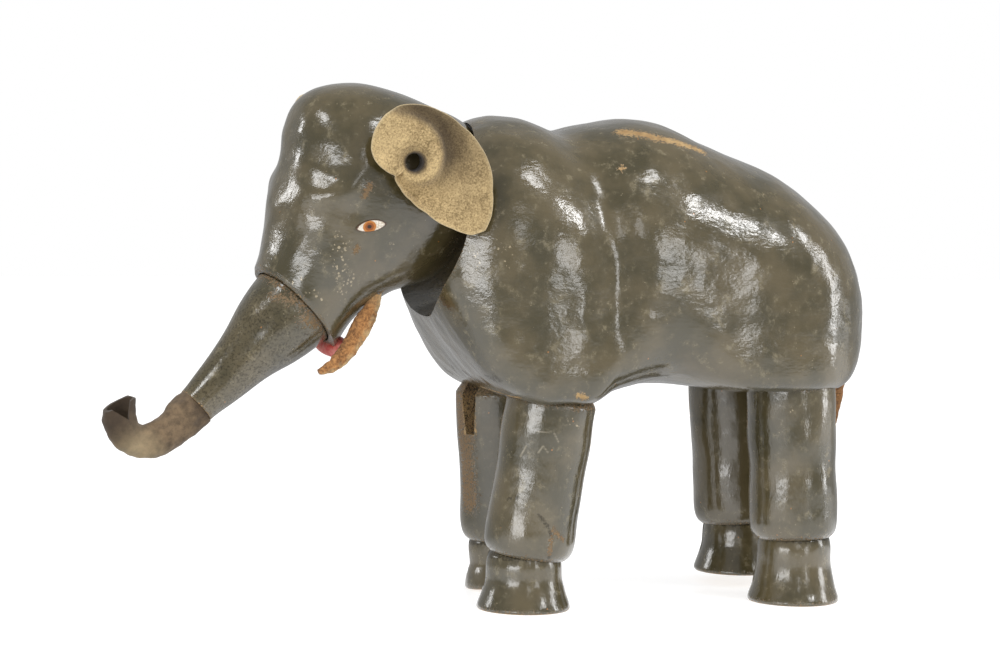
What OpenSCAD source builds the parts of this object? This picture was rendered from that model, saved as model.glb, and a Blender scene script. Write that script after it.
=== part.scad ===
// Jointed wooden elephant, an elastic-strung toy.
// The head looks towards -X, the animal's left side is -Y, and the feet stand on z = 0.
// The origin lies on the floor under the middle of the whole animal.

/* [Stance] */
// Distance between the front and the rear hip centres
leg_spacing = 88; // [86:0.2:92]
// Distance between the left and the right hip centres
leg_track = 43; // [41:0.5:44]
// How far the rear hips lie behind the origin
rear_hip_x = 102.3; // [98:0.1:105]
// How far the front right hip lies ahead of the left one
front_right_ahead = 2.2; // [0:0.2:4]
// How far the rear right hip lies ahead of the left one
rear_right_ahead = 4; // [0:0.2:5]
// Swing of the front left leg at rest, foot forward when positive
front_left_swing = 8; // [-10:0.1:12]
// Swing of the front right leg at rest
front_right_swing = -4.2; // [-10:0.1:12]
// Turn of the front left leg about its own length at rest
front_left_turn = -19; // [-28:1:28]
// Turn of the front right leg about its own length at rest
front_right_turn = 27; // [-28:1:28]
// Turn of the front right foot on its leg at rest
front_right_foot_turn = -44; // [-60:1:0]
// Tilt of the front right foot at rest, toe down when negative
front_right_tilt = -10; // [-16:0.5:0]
// Swing of the rear left leg at rest
rear_left_swing = -2.4; // [-10:0.1:12]
// Swing of the rear right leg at rest
rear_right_swing = -4.1; // [-10:0.1:12]
// Turn of the rear left leg about its own length at rest
rear_left_turn = -24; // [-28:1:28]
// Turn of the rear right leg about its own length at rest
rear_right_turn = -20; // [-28:1:28]
// How far the rear right foot stands off the floor
rear_right_lift = 4.2; // [0:0.1:4.6]

/* [Legs] */
// Distance from the hip centre to the ankle centre
leg_len = 48.5; // [46:0.5:56]
// Radius of a leg where it meets the body
leg_r = 15.2; // [14.6:0.1:15.6]
// Radius of a leg at its waist
leg_waist_r = 14.7; // [14:0.1:15.2]
// Radius of the bulge low on a leg
leg_bulge_r = 15.1; // [14.6:0.1:15.8]
// Radius of the domed top of a leg
hip_dome_r = 17.6; // [17:0.1:18.2]
// Width of the cut in the top of a leg, where it meets the body
leg_slot_w = 6.4; // [5:0.1:7]
// Width of that cut at its bottom
leg_slot_bottom_w = 3.8; // [3.6:0.1:4.6]

/* [Feet] */
// Height of a front ankle centre above the floor
ankle_z = 12; // [11:0.5:14]
// How much higher the rear ankles stand
rear_ankle_rise = 3.9; // [3:0.1:4.5]
// Radius of a foot where it meets the leg
foot_top_r = 12.1; // [11.4:0.1:12.6]
// Radius of a foot at the floor
foot_base_r = 15.5; // [14.5:0.1:16.6]
// Radius of the domed top of a foot
ankle_dome_r = 13.4; // [13:0.1:14]
// Width of the saw cut in the top of a foot
foot_slot_w = 4; // [3.6:0.1:5]

/* [Body] */
// Length of the body block
body_l = 162.5; // [160:0.5:168]
// Height of the body block
body_h = 95.8; // [92:0.1:100]
// Width of the body block
body_w = 84; // [83:0.5:90]
// How far the rump stands out behind the rear hips
rump_overhang = 29.9; // [29:0.1:33]
// Height of the underside above the hip centres
hip_drop = 7.6; // [7:0.1:9]
// Depth of the groove between the shoulder block and the barrel
groove_depth = 2.6; // [1:0.1:4]
// Radius of the hollow in the front of the body
neck_bowl_r = 36; // [35.5:0.1:37]

/* [Head] */
// Radius of the ball at the back of the head
head_ball_r = 28.5; // [27.5:0.1:28.5]
// Height of the neck centre above the underside of the body
neck_height = 69.6; // [68:0.1:71]
// How far the neck centre lies behind the front of the chest
neck_inset = 3; // [2:0.1:5]
// Length of the head from the neck centre to the muzzle
muzzle_len = 56.5; // [56:0.5:60]
// Angle of the muzzle below the horizontal
muzzle_drop = 43; // [40:0.5:46]
// Radius of the rolled lower lip
lip_r = 5; // [4.4:0.1:5.4]
// Turn of the head to its left at rest
head_yaw = 12; // [0:1:14]
// Tilt of the head to its left at rest
head_roll = 5; // [0:0.5:6]

/* [Trunk] */
// Radius of the domed root of the trunk
trunk_dome_r = 17.5; // [17:0.1:18]
// Radius of the trunk where it leaves the muzzle
trunk_root_r = 15.2; // [14:0.1:15.4]
// Radius of the wooden trunk at its lower end
trunk_end_r = 6.5; // [6:0.1:7]
// Length of the wooden trunk beyond its pivot
trunk_len = 37; // [34:0.5:42]
// Radius of the leather tip at its lobes
tip_lobe_r = 5.4; // [4.8:0.1:6]
// Thickness of the rolled leather of the tip
tip_wall = 1.2; // [0.9:0.1:1.6]

/* [Leather] */
// Thickness of the ear leather
ear_t = 1.3; // [1:0.1:1.6]
// Radius of the rolled root of an ear
ear_root_r = 4.2; // [3.8:0.1:4.6]
// Scale of the ear's outline
ear_size = 1; // [0.9:0.02:1.05]
// Width of a tusk at its thickest
tusk_w = 7; // [6:0.1:7.6]
// Thickness of a tusk
tusk_t = 3; // [2.4:0.1:3.4]
// Length of the tail below its nail
tail_len = 26; // [20:0.5:28]
// Width of the tail
tail_w = 5; // [4:0.1:5.4]
// Thickness of the tail
tail_t = 1.5; // [1.2:0.1:1.8]

/* [Elastic and nails] */
// Diameter of the elastic cord
cord_d = 2.4; // [2:0.1:2.6]
// Diameter of the cross nails and brads
nail_d = 1.8; // [1.6:0.1:2]
// Length of a hip cord between its loops
hip_cord_len = 40; // [36:1:46]
// Length of a foot cord between its loops
foot_cord_len = 22; // [20:1:23]
// Length of the neck cord between its loops
neck_cord_len = 52; // [48:1:60]
// Length of the trunk cord between its loops
trunk_cord_len = 25; // [24:1:28]
// Clearance between a dome and its seat
seat_gap = 0.3; // [0.25:0.05:0.5]

/* [Hidden] */
$fn = 48;
enamel = [0.36, 0.36, 0.30];
tan_leather = [0.60, 0.55, 0.38];
orange_leather = [0.72, 0.42, 0.16];
dark_leather = [0.42, 0.37, 0.30];
elastic = [0.85, 0.82, 0.74];
steel = [0.55, 0.55, 0.57];

// Running clearance of a nail that turns in its hole
nail_gap = 0.05;
nail_r = nail_d / 2;
cord_r = cord_d / 2;
// Inner radius of a cord's loop, wide enough to turn on a nail
loop_r = nail_r + 0.9;
loop_centre_r = loop_r + cord_r;
loop_outer_r = loop_centre_r + cord_r;
// Radius of a hole that a loop passes through
cord_bore_r = loop_outer_r + 0.4;
// Room past a loop at the closed end of its hole
bore_end = 1;
// Length of a brad hidden in the wood
brad_len = 18;

// The four legs in the order front left, front right, rear left, rear right
LEG_NAMES = ["front_left", "front_right", "rear_left", "rear_right"];
leg_swing = [front_left_swing, front_right_swing, rear_left_swing, rear_right_swing];
leg_turn = [front_left_turn, front_right_turn, rear_left_turn, rear_right_turn];
foot_turn = [0, front_right_foot_turn, 0, 0];
leg_ahead = [leg_spacing, leg_spacing + front_right_ahead, 0, rear_right_ahead];
foot_tilt = [0, front_right_tilt, 0, 0];
function leg_x(i) = rear_hip_x - leg_ahead[i];
function leg_y(i) = (i % 2 == 0 ? -1 : 1) * leg_track / 2;
function ankle_height(i) = ankle_z + (i < 2 ? 0 : rear_ankle_rise);
// Height of a foot below its ankle centre; a tilted foot stands on the edge of its sole
function foot_height(i) =
    (ankle_height(i) - (i == 3 ? rear_right_lift : 0) - sole_r * sin(abs(foot_tilt[i]))) / cos(foot_tilt[i]);
// A swung leg is a little shorter in height, so its hip sits a little lower
function hip_z(i) = ankle_height(i) + leg_len * cos(leg_swing[i]);
function foot_shift(i) = -leg_len * sin(leg_swing[i]);
base_z = ankle_z + leg_len + hip_drop;

// Heights along a leg, measured up from the ankle centre
leg_bottom_h = 6;
sole_r = foot_base_r - 0.3;
leg_bulge_h = 13.5;
leg_waist_h = 30;
// The lower end of a leg rounds in to a thin rim about the seat of its foot
leg_rim_wall = 0.4;
leg_rim_r = sqrt((ankle_dome_r + seat_gap) ^ 2 - leg_bottom_h ^ 2) + leg_rim_wall;
hip_edge_h = sqrt(hip_dome_r ^ 2 - leg_r ^ 2);
ankle_edge_h = sqrt(ankle_dome_r ^ 2 - foot_top_r ^ 2);
hip_nail_len = 2 * leg_waist_r - 4;
foot_nail_len = 2 * foot_top_r - 4;
ankle_brad_len = 2 * leg_waist_r - 6;

// The body block
rump_x = rear_hip_x + rump_overhang;
chest_x = rump_x - body_l;
neck = [chest_x + neck_inset, 0, base_z + neck_height];
// The bowl is wider than the ball, which touches it high up, so it opens most at the chest
bowl_drop = 68;
bowl_centre = neck - (neck_bowl_r - head_ball_r - seat_gap) * [cos(bowl_drop), 0, sin(bowl_drop)];

// Smooth curve through rows of numbers, one row for each whole step of t
function pick(rows, i) = rows[max(0, min(len(rows) - 1, i))];
function along(rows, t) =
    let (
        i = min(floor(t), len(rows) - 2),
        f = t - i,
        a = pick(rows, i - 1),
        b = pick(rows, i),
        c = pick(rows, i + 1),
        d = pick(rows, i + 2)
    )
    0.5 * (2 * b + (c - a) * f + (2 * a - 5 * b + 4 * c - d) * f ^ 2 + (3 * b - a - 3 * c + d) * f ^ 3);

// Distance from the middle of a rounded section to its edge, in the direction a
function section_reach(a, half_w, half_h, square) =
    1 / (abs(cos(a) / half_w) ^ square + abs(sin(a) / half_h) ^ square) ^ (1 / square);

// Mean point of a ring
function ring_middle(ring) = [for (k = [0:2]) [for (p = ring) p[k]] * [for (p = ring) 1] / len(ring)];

// Skin over a row of rings, closed at both ends, with its faces pointing outwards
module skin(rings) {
    n = len(rings[0]);
    m = len(rings);
    points = concat([for (ring = rings) each ring], [ring_middle(rings[0]), ring_middle(rings[m - 1])]);
    sides = [
        for (j = [0:m - 2], k = [0:n - 1])
            let (a = j * n + k, b = j * n + (k + 1) % n)
            each [[a, b + n, b], [a, a + n, b + n]]
    ];
    front = [for (k = [0:n - 1]) [m * n, k, (k + 1) % n]];
    back = [for (k = [0:n - 1]) [m * n + 1, (m - 1) * n + (k + 1) % n, (m - 1) * n + k]];
    polyhedron(points = points, faces = concat(sides, front, back));
}

// Sections of the body block from chest to rump. Each row holds the place along the body, the top, the
// underside and the half width, as parts of the block's length, height and half width, and how square
// the lower half of the section is.
BODY_ROWS = [
    [0.000, 0.520, 0.450, 0.16, 2.5],
    [0.015, 0.628, 0.405, 0.43, 3],
    [0.048, 0.804, 0.295, 0.69, 4],
    [0.096, 0.928, 0.171, 0.855, 6],
    [0.155, 0.985, 0.061, 0.955, 10],
    [0.222, 0.991, 0.010, 0.995, 13],
    [0.290, 0.971, 0.003, 1.000, 13],
    [0.345, 0.974, 0.001, 1.000, 11],
    [0.400, 0.977, 0.034, 1.000, 6],
    [0.470, 0.992, 0.057, 1.005, 4],
    [0.545, 0.975, 0.058, 1.005, 4],
    [0.625, 0.918, 0.047, 1.002, 7],
    [0.700, 0.869, 0.041, 1.000, 12],
    [0.785, 0.812, 0.041, 0.975, 13],
    [0.860, 0.730, 0.040, 0.90, 11],
    [0.925, 0.633, 0.052, 0.757, 7],
    [0.970, 0.502, 0.107, 0.548, 4],
    [0.994, 0.369, 0.186, 0.30, 3],
    [1.000, 0.300, 0.255, 0.10, 2.5]
];
// Directions round a section, closer together at the lower corners
RIGHT_ANGLES = [-76, -66, -59, -53, -48, -43, -37, -28, -15, 0, 15, 29, 43, 56, 68, 79];
BODY_ANGLES = concat([-90], RIGHT_ANGLES, [90], [for (k = [15:-1:0]) 180 - RIGHT_ANGLES[k]]);
top_square = 2.3;
// The groove behind the shoulders runs backwards as it goes down the side
groove_behind_chest = 51;
groove_top_x = chest_x + groove_behind_chest;
groove_lean = 11;
groove_half_w = 6.5;
function groove_x(z) = groove_top_x + groove_lean * min(1, max(0, (base_z + body_h - z) / (body_h / 2)));
function groove(x, z) = groove_depth * exp(-((x - groove_x(z)) / groove_half_w) ^ 2);

function body_ring(row) =
    let (
        x = chest_x + row[0] * body_l,
        half_h = (row[1] - row[2]) * body_h / 2,
        mid_z = base_z + (row[1] + row[2]) * body_h / 2,
        half_w = row[3] * body_w / 2
    )
    [
        for (a = BODY_ANGLES)
            let (
                square = sin(a) < 0 ? row[4] : top_square,
                plain = section_reach(a, half_w, half_h, square),
                r = plain - groove(x, mid_z + plain * sin(a)) * min(1, 2 + 2 * sin(a))
            )
            [x, r * cos(a), mid_z + r * sin(a)]
    ];

module torso() {
    step = 0.5;
    color(enamel)
    difference() {
        skin([for (t = [0:step:len(BODY_ROWS) - 1]) body_ring(along(BODY_ROWS, t))]);
        translate(bowl_centre) sphere(r = neck_bowl_r, $fn = 96);
        for (i = [0:3]) translate([leg_x(i), leg_y(i), hip_z(i)]) {
            sphere(r = hip_dome_r + seat_gap, $fn = 96);
            cylinder(h = hip_cord_len + loop_outer_r + bore_end, r = cord_bore_r);
            translate([0, 0, hip_cord_len]) cross_nail(brad_len, nail_r);
        }
        translate(neck) {
            rotate([0, 90, 0]) cylinder(h = neck_cord_len + loop_outer_r + bore_end, r = cord_bore_r);
            translate([neck_cord_len, 0, 0]) cross_nail(brad_len, nail_r);
        }
        tail_place() tail_hole();
    }
}

// Nail lying across the body, along Y, with its middle at the origin
module cross_nail(length, r) {
    rotate([90, 0, 0]) cylinder(h = length, r = r, center = true, $fn = 24);
}

module hip_anchor_brads() {
    color(steel)
    for (i = [0:3]) translate([leg_x(i), leg_y(i), hip_z(i) + hip_cord_len]) cross_nail(brad_len, nail_r);
}

module neck_brad() {
    color(steel)
    translate(neck + [neck_cord_len, 0, 0]) cross_nail(brad_len, nail_r);
}

// Elastic cord along +Z with a loop at each end. The lower loop is at the origin and turns on a nail
// along Y, the upper one is turned from it by an angle.
module cord(length, upper_turn = 0) {
    color(elastic)
    union() {
        cord_loop();
        translate([0, 0, loop_centre_r]) cylinder(h = length - 2 * loop_centre_r, r = cord_r);
        translate([0, 0, length]) rotate([0, 0, upper_turn]) cord_loop();
    }
}

module cord_loop() {
    rotate([90, 0, 0]) rotate_extrude() translate([loop_centre_r, 0]) circle(r = cord_r, $fn = 24);
}

module hip_cord(i) {
    translate([leg_x(i), leg_y(i), hip_z(i)]) rotate([0, 0, leg_turn[i]]) cord(hip_cord_len, -leg_turn[i]);
}

// Frame of a leg: the origin at the hip centre and the leg's length along -Z
module leg_place(i) {
    translate([leg_x(i), leg_y(i), hip_z(i)]) rotate([0, 0, leg_turn[i]]) rotate([0, leg_swing[i], 0]) children();
}

// Frame of an ankle, turned with its leg and by the foot's own turn, upright but for the foot's own tilt
module ankle_place(i) {
    translate([leg_x(i), leg_y(i), hip_z(i)]) rotate([0, 0, leg_turn[i]])
        translate([foot_shift(i), 0, ankle_height(i) - hip_z(i)]) rotate([0, 0, foot_turn[i]])
            rotate([0, foot_tilt[i], 0]) children();
}

// Turned profile: radius against height, rounded through its own points
function turned(rows, steps) = [for (t = [0:1 / steps:len(rows) - 1]) let (p = along(rows, t)) [p[0], p[1]]];

// Domed cap of a turned piece, as points from its edge to its middle
function dome(r, edge_r, steps) =
    let (edge = asin(edge_r / r))
    [for (k = [0:steps]) let (a = edge * (1 - k / steps)) [r * sin(a), r * cos(a)]];

module leg_blank() {
    side = [
        [leg_rim_r, leg_bottom_h - leg_len],
        [leg_rim_r + 0.52 * (leg_bulge_r - leg_rim_r), leg_bottom_h + 1.3 - leg_len],
        [leg_rim_r + 0.86 * (leg_bulge_r - leg_rim_r), leg_bottom_h + 3.5 - leg_len],
        [leg_bulge_r, leg_bulge_h - leg_len],
        [(leg_bulge_r + leg_waist_r) / 2, (leg_bulge_h + leg_waist_h) / 2 - leg_len],
        [leg_waist_r, leg_waist_h - leg_len],
        [(leg_waist_r + leg_r) / 2, (leg_waist_h - leg_len) / 2],
        [leg_r, 0],
        [leg_r, hip_edge_h]
    ];
    rotate_extrude($fn = 96) polygon(concat([[0, leg_bottom_h - leg_len]], turned(side, 4), dome(hip_dome_r, leg_r, 10)));
}

// Cut across the top of a leg that takes the cord's loop, wider where it meets the body
module leg_slot() {
    top = leg_slot_w / 2;
    bottom = leg_slot_bottom_w / 2;
    low = -loop_outer_r - 0.6;
    high = hip_dome_r + 1;
    rotate([90, 0, 90]) linear_extrude(height = 2 * leg_r + 4, center = true)
        polygon([[-bottom, low], [bottom, low], [top, hip_drop], [top, high], [-top, high], [-top, hip_drop]]);
}

module leg(i) {
    color(enamel)
    leg_place(i)
    difference() {
        leg_blank();
        leg_slot();
        cross_nail(hip_nail_len, nail_r);
        translate([0, 0, -leg_len]) {
            sphere(r = ankle_dome_r + seat_gap, $fn = 96);
            cylinder(h = foot_cord_len + loop_outer_r + bore_end, r = cord_bore_r);
            translate([0, 0, foot_cord_len]) cross_nail(ankle_brad_len, nail_r);
        }
    }
}

module hip_nail(i) {
    color(steel)
    leg_place(i) cross_nail(hip_nail_len, nail_r);
}

module ankle_brad(i) {
    color(steel)
    leg_place(i) translate([0, 0, foot_cord_len - leg_len]) cross_nail(ankle_brad_len, nail_r);
}

module foot_cord(i) {
    leg_place(i) translate([0, 0, -leg_len]) rotate([0, 0, foot_turn[i]]) cord(foot_cord_len, -foot_turn[i]);
}

module foot_blank(height) {
    side = [
        [sole_r, -height],
        [foot_base_r, 1.2 - height],
        [(foot_base_r + foot_top_r) / 2 + 0.2, 5.5 - height],
        [foot_top_r + 0.8, 0.35 * (5.5 - height)],
        [foot_top_r + 0.5, 3],
        [foot_top_r, ankle_edge_h]
    ];
    rotate_extrude($fn = 96) polygon(concat([[0, -height]], turned(side, 4), dome(ankle_dome_r, foot_top_r, 10)));
}

module foot(i) {
    color(enamel)
    ankle_place(i)
    difference() {
        foot_blank(foot_height(i));
        translate([-foot_base_r - 2, -foot_slot_w / 2, -loop_outer_r - 0.6])
            cube([2 * foot_base_r + 4, foot_slot_w, ankle_dome_r + loop_outer_r + 2]);
        cross_nail(foot_nail_len, nail_r);
    }
}

module foot_nail(i) {
    color(steel)
    ankle_place(i) cross_nail(foot_nail_len, nail_r);
}

// Frame of the head: the origin at the neck centre, looking towards -X
module head_place() {
    translate(neck) rotate([head_roll, 0, 0]) rotate([0, 0, head_yaw]) children();
}

// Sections of the head square to the muzzle's line, from the back of the ball to the muzzle. Each row holds
// the place along that line, the top, the underside and the widest height, measured across it, and the
// half width, all in millimetres.
HEAD_ROWS = [
    [-28.3, 3, -3, 0, 3],
    [-26.6, 9.5, -8, 0, 9.5],
    [-22.5, 17.5, -14.5, 0, 17.2],
    [-16, 30, -20.5, 0, 23.4],
    [-8, 41, -23.6, 1, 27.2],
    [1, 47.6, -25, 3, 28.4],
    [10, 49.6, -25.6, 6, 28],
    [18, 46, -24.6, 9, 27],
    [25, 40, -20.6, 10, 25.4],
    [32, 35.8, -15.4, 10, 23.2],
    [38.5, 31.8, -12.6, 9, 21.2],
    [44, 27, -13.4, 6, 19.6],
    [50, 22.4, -16, 3, 18.2],
    [55.5, 19.4, -17.8, 1, 17.2]
];
HEAD_ANGLES = [for (k = [0:27]) k * 360 / 28];
head_square = 2.1;

// Point of the head from its place along and across the muzzle's line
function head_point(s, y, q) = [
    -(s * cos(muzzle_drop) + q * sin(muzzle_drop)),
    y,
    q * cos(muzzle_drop) - s * sin(muzzle_drop)
];

function head_ring(row) = [
    for (a = HEAD_ANGLES)
        let (
            half_h = sin(a) < 0 ? row[3] - row[2] : row[1] - row[3],
            r = section_reach(a, row[4], half_h, head_square)
        )
        head_point(row[0], -r * cos(a), row[3] + r * sin(a))
];

// The muzzle end stands at its own length, past the last shaped section
muzzle_end = [muzzle_len, 18, -17.6, 0.6, 16.8];

// How far the trunk's pivot lies in front of the muzzle's rim
trunk_ahead = sqrt(trunk_dome_r ^ 2 - trunk_root_r ^ 2);
trunk_axis_q = 1;

// Frame of the trunk in the head: the origin at its pivot, the trunk's length along +Z
module trunk_place() {
    head_place()
        translate(head_point(muzzle_len + trunk_ahead, 0, trunk_axis_q))
            rotate([0, -90 - muzzle_drop, 0]) children();
}

// Opening through which a cord leaves the back of a ball. The cord turns on a nail along Y at the origin
// and leaves towards +X, up and down by two angles about Y and sideways by a third.
module cord_mouth(reach, up, down, side) {
    half = cord_r + 0.6;
    side_w = half + reach * tan(side);
    intersection() {
        rotate([90, 0, 0]) linear_extrude(height = 4 * reach, center = true)
            polygon([[0, -half], [reach, -half - reach * tan(down)], [reach, half + reach * tan(up)], [0, half]]);
        linear_extrude(height = 4 * reach, center = true)
            polygon([[0, -half], [reach, -side_w], [reach, side_w], [0, half]]);
    }
    cross_nail(2 * (loop_outer_r * sin(side) + cord_r + 0.5), loop_outer_r + 0.5);
}

head_nod_up = 16;
head_nod_down = 22;
head_turn_each_way = 23;
trunk_lift = 28;
trunk_fall = 23;
trunk_turn_each_way = 21;

module head() {
    color(enamel)
    difference() {
        head_place() head_block();
        trunk_place() {
            sphere(r = trunk_dome_r + seat_gap, $fn = 96);
            rotate([180, 0, 0]) cylinder(h = trunk_cord_len + loop_outer_r + bore_end, r = cord_bore_r);
            translate([0, 0, -trunk_cord_len]) cross_nail(brad_len, nail_r);
        }
        for (side = [-1, 1]) {
            ear_place(side) ear_tube(0, ear_root_r);
            tusk_blank(side);
            tusk_nail_shape(side);
        }
    }
}

module head_block() {
    step = 0.5;
    difference() {
        union() {
            skin(concat([for (t = [0:step:len(HEAD_ROWS) - 1]) head_ring(along(HEAD_ROWS, t))], [head_ring(muzzle_end)]));
            lower_lip();
        }
        cord_mouth(head_ball_r + 3, head_nod_up, head_nod_down, head_turn_each_way);
        cross_nail(2 * neck_pin_half, nail_r + nail_gap);
    }
}

// Rounded lip that hangs under the jaw behind the root of the trunk, as rings across the head
lip_half_w = 8.5;
lip_in = 0.7;
lip_q = -17.8;
module lower_lip() {
    middle = head_point(muzzle_len - lip_r - lip_in, 0, lip_q);
    skin([
        for (a = [-80:20:80])
            let (r = lip_r * cos(a) ^ 0.6)
            [for (k = [0:13]) middle + [r * cos(k * 360 / 14), -lip_half_w * sin(a), r * sin(k * 360 / 14)]]
    ]);
}

neck_pin_half = 15;
module neck_pin() {
    color(steel)
    head_place() cross_nail(2 * neck_pin_half - 0.4, nail_r);
}

module neck_cord() {
    translate(neck) rotate([head_roll, 0, 0]) rotate([0, 90, 0]) cord(neck_cord_len, -head_roll);
}

module trunk_brad() {
    color(steel)
    trunk_place() translate([0, 0, -trunk_cord_len]) cross_nail(brad_len, nail_r);
}

module trunk_cord() {
    trunk_place() rotate([180, 0, 0]) cord(trunk_cord_len);
}

trunk_pin_half = 10;
module trunk_pin() {
    color(steel)
    trunk_place() cross_nail(2 * trunk_pin_half - 0.4, nail_r);
}

module trunk_blank() {
    side = [
        [trunk_end_r, trunk_len],
        [trunk_end_r + 0.5, trunk_len - 5],
        [trunk_end_r + 3.1, trunk_len - 21],
        [trunk_root_r - 2.2, 4],
        [trunk_root_r - 0.5, -4],
        [trunk_root_r, -trunk_ahead]
    ];
    top = dome(trunk_dome_r, trunk_root_r, 10);
    rotate_extrude($fn = 96)
        polygon(concat([[0, trunk_len]], turned(side, 4), [for (p = top) [p[0], -p[1]]]));
}

module trunk() {
    color(enamel)
    trunk_place()
    difference() {
        trunk_blank();
        rotate([0, 90, 0]) cord_mouth(trunk_dome_r + 2, trunk_lift, trunk_fall, trunk_turn_each_way);
        cross_nail(2 * trunk_pin_half, nail_r + nail_gap);
        trunk_tack_shape();
    }
}

// Middle line of the leather tip in the trunk's frame. Each row holds the place across the trunk, towards
// its upper side, the place along it beyond its end, and the half width at that place.
TIP_ROWS = [
    [0, 0, 6.9],
    [0.2, 6.5, 6.6],
    [0.4, 12.5, 6.1],
    [2.2, 17.6, 5.8],
    [5.9, 21.5, 5.4],
    [11.4, 22.8, 5.4],
    [16.4, 20.8, 5.7],
    [20.6, 15.6, 4.6]
];
// The leather is a little flatter than it is wide
tip_flat = 0.82;

// Row at which the hollow of the rolled tip starts
tip_hollow_row = 4.5;
// Tops of the two lobes, between which the mouth of the rolled leather is cut straight
TIP_LOBES = [[18, 13], [20.9, 22.2]];
// Notch in the near side of the tip between its two lobes: its bottom, and a point past each lobe
TIP_NOTCH = [[15.1, 20], [25.6, 22.7], [24.3, 7.9]];
// Part of the leather that would lie beside the wood, where it is cut square
tip_trim = 5;

// Ring of the tip at a row, drawn in by a wall and set ahead along the tip
function tip_ring(t, wall = 0, ahead = 0) =
    let (
        row = along(TIP_ROWS, t),
        next = along(TIP_ROWS, min(t + 0.05, len(TIP_ROWS) - 1)),
        last = along(TIP_ROWS, max(t - 0.05, 0)),
        dx = next[0] - last[0],
        dz = next[1] - last[1],
        run = norm([dx, dz]),
        r = row[2] / 5.4 * tip_lobe_r,
        x = row[0] + ahead * dx / run,
        z = trunk_len + row[1] + ahead * dz / run
    )
    [
        for (k = [0:13])
            let (a = k * 360 / 14, across = (r - wall) * cos(a))
            [x + across * dz / run, (r * tip_flat - wall) * sin(a), z - across * dx / run]
    ];

module tip_hollow() {
    last = len(TIP_ROWS) - 1;
    closing = 2;
    skin(concat(
        [tip_ring(tip_hollow_row, tip_wall + closing)],
        [for (t = [tip_hollow_row + 0.5:0.5:last]) tip_ring(t, tip_wall)],
        [tip_ring(last, tip_wall, 2)]
    ));
    translate([0, 0, trunk_len]) rotate([90, 0, 0]) {
        linear_extrude(height = 2 * tip_lobe_r) polygon(TIP_NOTCH);
        linear_extrude(height = 4 * tip_lobe_r, center = true) tip_mouth();
    }
}

// Everything past the straight line between the two lobes
module tip_mouth() {
    reach = 3 * tip_lobe_r;
    line = (TIP_LOBES[1] - TIP_LOBES[0]) / norm(TIP_LOBES[1] - TIP_LOBES[0]);
    out = reach * [line[1], -line[0]];
    low = TIP_LOBES[0] - reach * line;
    high = TIP_LOBES[1] + reach * line;
    polygon([low, high, high + out, low + out]);
}

module trunk_tip() {
    color(dark_leather)
    trunk_place()
    difference() {
        skin([for (t = [0:0.5:len(TIP_ROWS) - 1]) tip_ring(t)]);
        tip_hollow();
        translate([0, 0, trunk_len - tip_trim]) cylinder(h = tip_trim, r = trunk_end_r + tip_trim);
        trunk_tack_shape();
    }
}

// Tack through the edge of the leather into the end of the wood
tack_len = 9;
tack_from_edge = 3.5;
tack_in_wood = 3;
module trunk_tack_shape() {
    translate([trunk_end_r - tack_from_edge, 0, trunk_len - tack_in_wood])
        cylinder(h = tack_len, r = nail_r / 2, $fn = 16);
}

module trunk_tack() {
    color(steel)
    trunk_place() trunk_tack_shape();
}

// Outline of an ear about its root: directions, counted from the front edge over the top, and the reach
EAR_ROWS = [
    [3, 13], [15, 14.7], [35, 16.5], [56, 18.1], [73, 18.7], [88, 18.4], [114, 18], [139, 18.5], [163, 21.1],
    [180, 23.6], [198, 26.2], [213, 29.7], [222, 31.2], [230, 29.3], [239, 23.8], [256, 16], [275, 11.9],
    [299, 9.2], [328, 7.6], [345, 9.9]
];
// Place of an ear's root on the head, and how far the ear leans out towards its rear edge
ear_root = [-17.4, 34.2, 12.5];
ear_splay = 18.4;
// Height of the rolled lip round the root and depth of the trough behind it
ear_lip = 2.2;
ear_trough = 2.4;

module ear_place(side) {
    head_place() translate([ear_root[0], side * ear_root[1], ear_root[2]])
        mirror([0, side < 0 ? 1 : 0, 0]) rotate([0, 0, ear_splay]) children();
}

// Height of the leather above its plane, at a share of the way from the root to the edge
function ear_height(share, a) =
    let (back = 0.5 - 0.5 * cos(a))
    ear_lip * exp(-(share / 0.3) ^ 2) - ear_trough * (0.35 + 0.65 * back) * sin(180 * share) ^ 2
    + 2.5 * back * share ^ 2;

function ear_ring(share, lift) = [
    for (row = EAR_ROWS)
        let (inner = ear_root_r - 0.4, r = inner + (row[1] * ear_size - inner) * share)
        [-r * cos(row[0]), ear_height(share, row[0]) + lift, r * sin(row[0])]
];

module ear_sheet() {
    shares = [0, 0.15, 0.3, 0.45, 0.62, 0.8, 1];
    skin(concat(
        [for (k = [0:6]) ear_ring(shares[k], -ear_t)],
        [for (k = [6:-1:0]) ear_ring(shares[k], 0)]
    ));
}

ear_root_len = 15;
ear_root_end = 3;
module ear_tube(top, r) {
    translate([0, top, 0]) rotate([90, 0, 0]) cylinder(h = ear_root_len + top, r = r);
}

module ear(side) {
    color(tan_leather)
    ear_place(side) difference() {
        union() {
            ear_sheet();
            ear_tube(ear_lip - ear_t / 2, ear_root_r);
        }
        translate([0, ear_root_end, 0]) ear_tube(ear_lip, ear_root_r - ear_t);
    }
}

// Middle line of a tusk in the head, from its root: forward, up and out to the side, and the share of its
// full width
TUSK_ROWS = [
    [17.3, -30.5, 11.6, 0.45],
    [19.6, -36.3, 12.6, 0.75],
    [22.8, -41.4, 13.6, 0.98],
    [26.4, -46.5, 14.4, 1],
    [30.3, -51.2, 15, 0.88],
    [35, -55.2, 15.4, 0.6],
    [39.6, -57, 15.4, 0.25]
];

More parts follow.
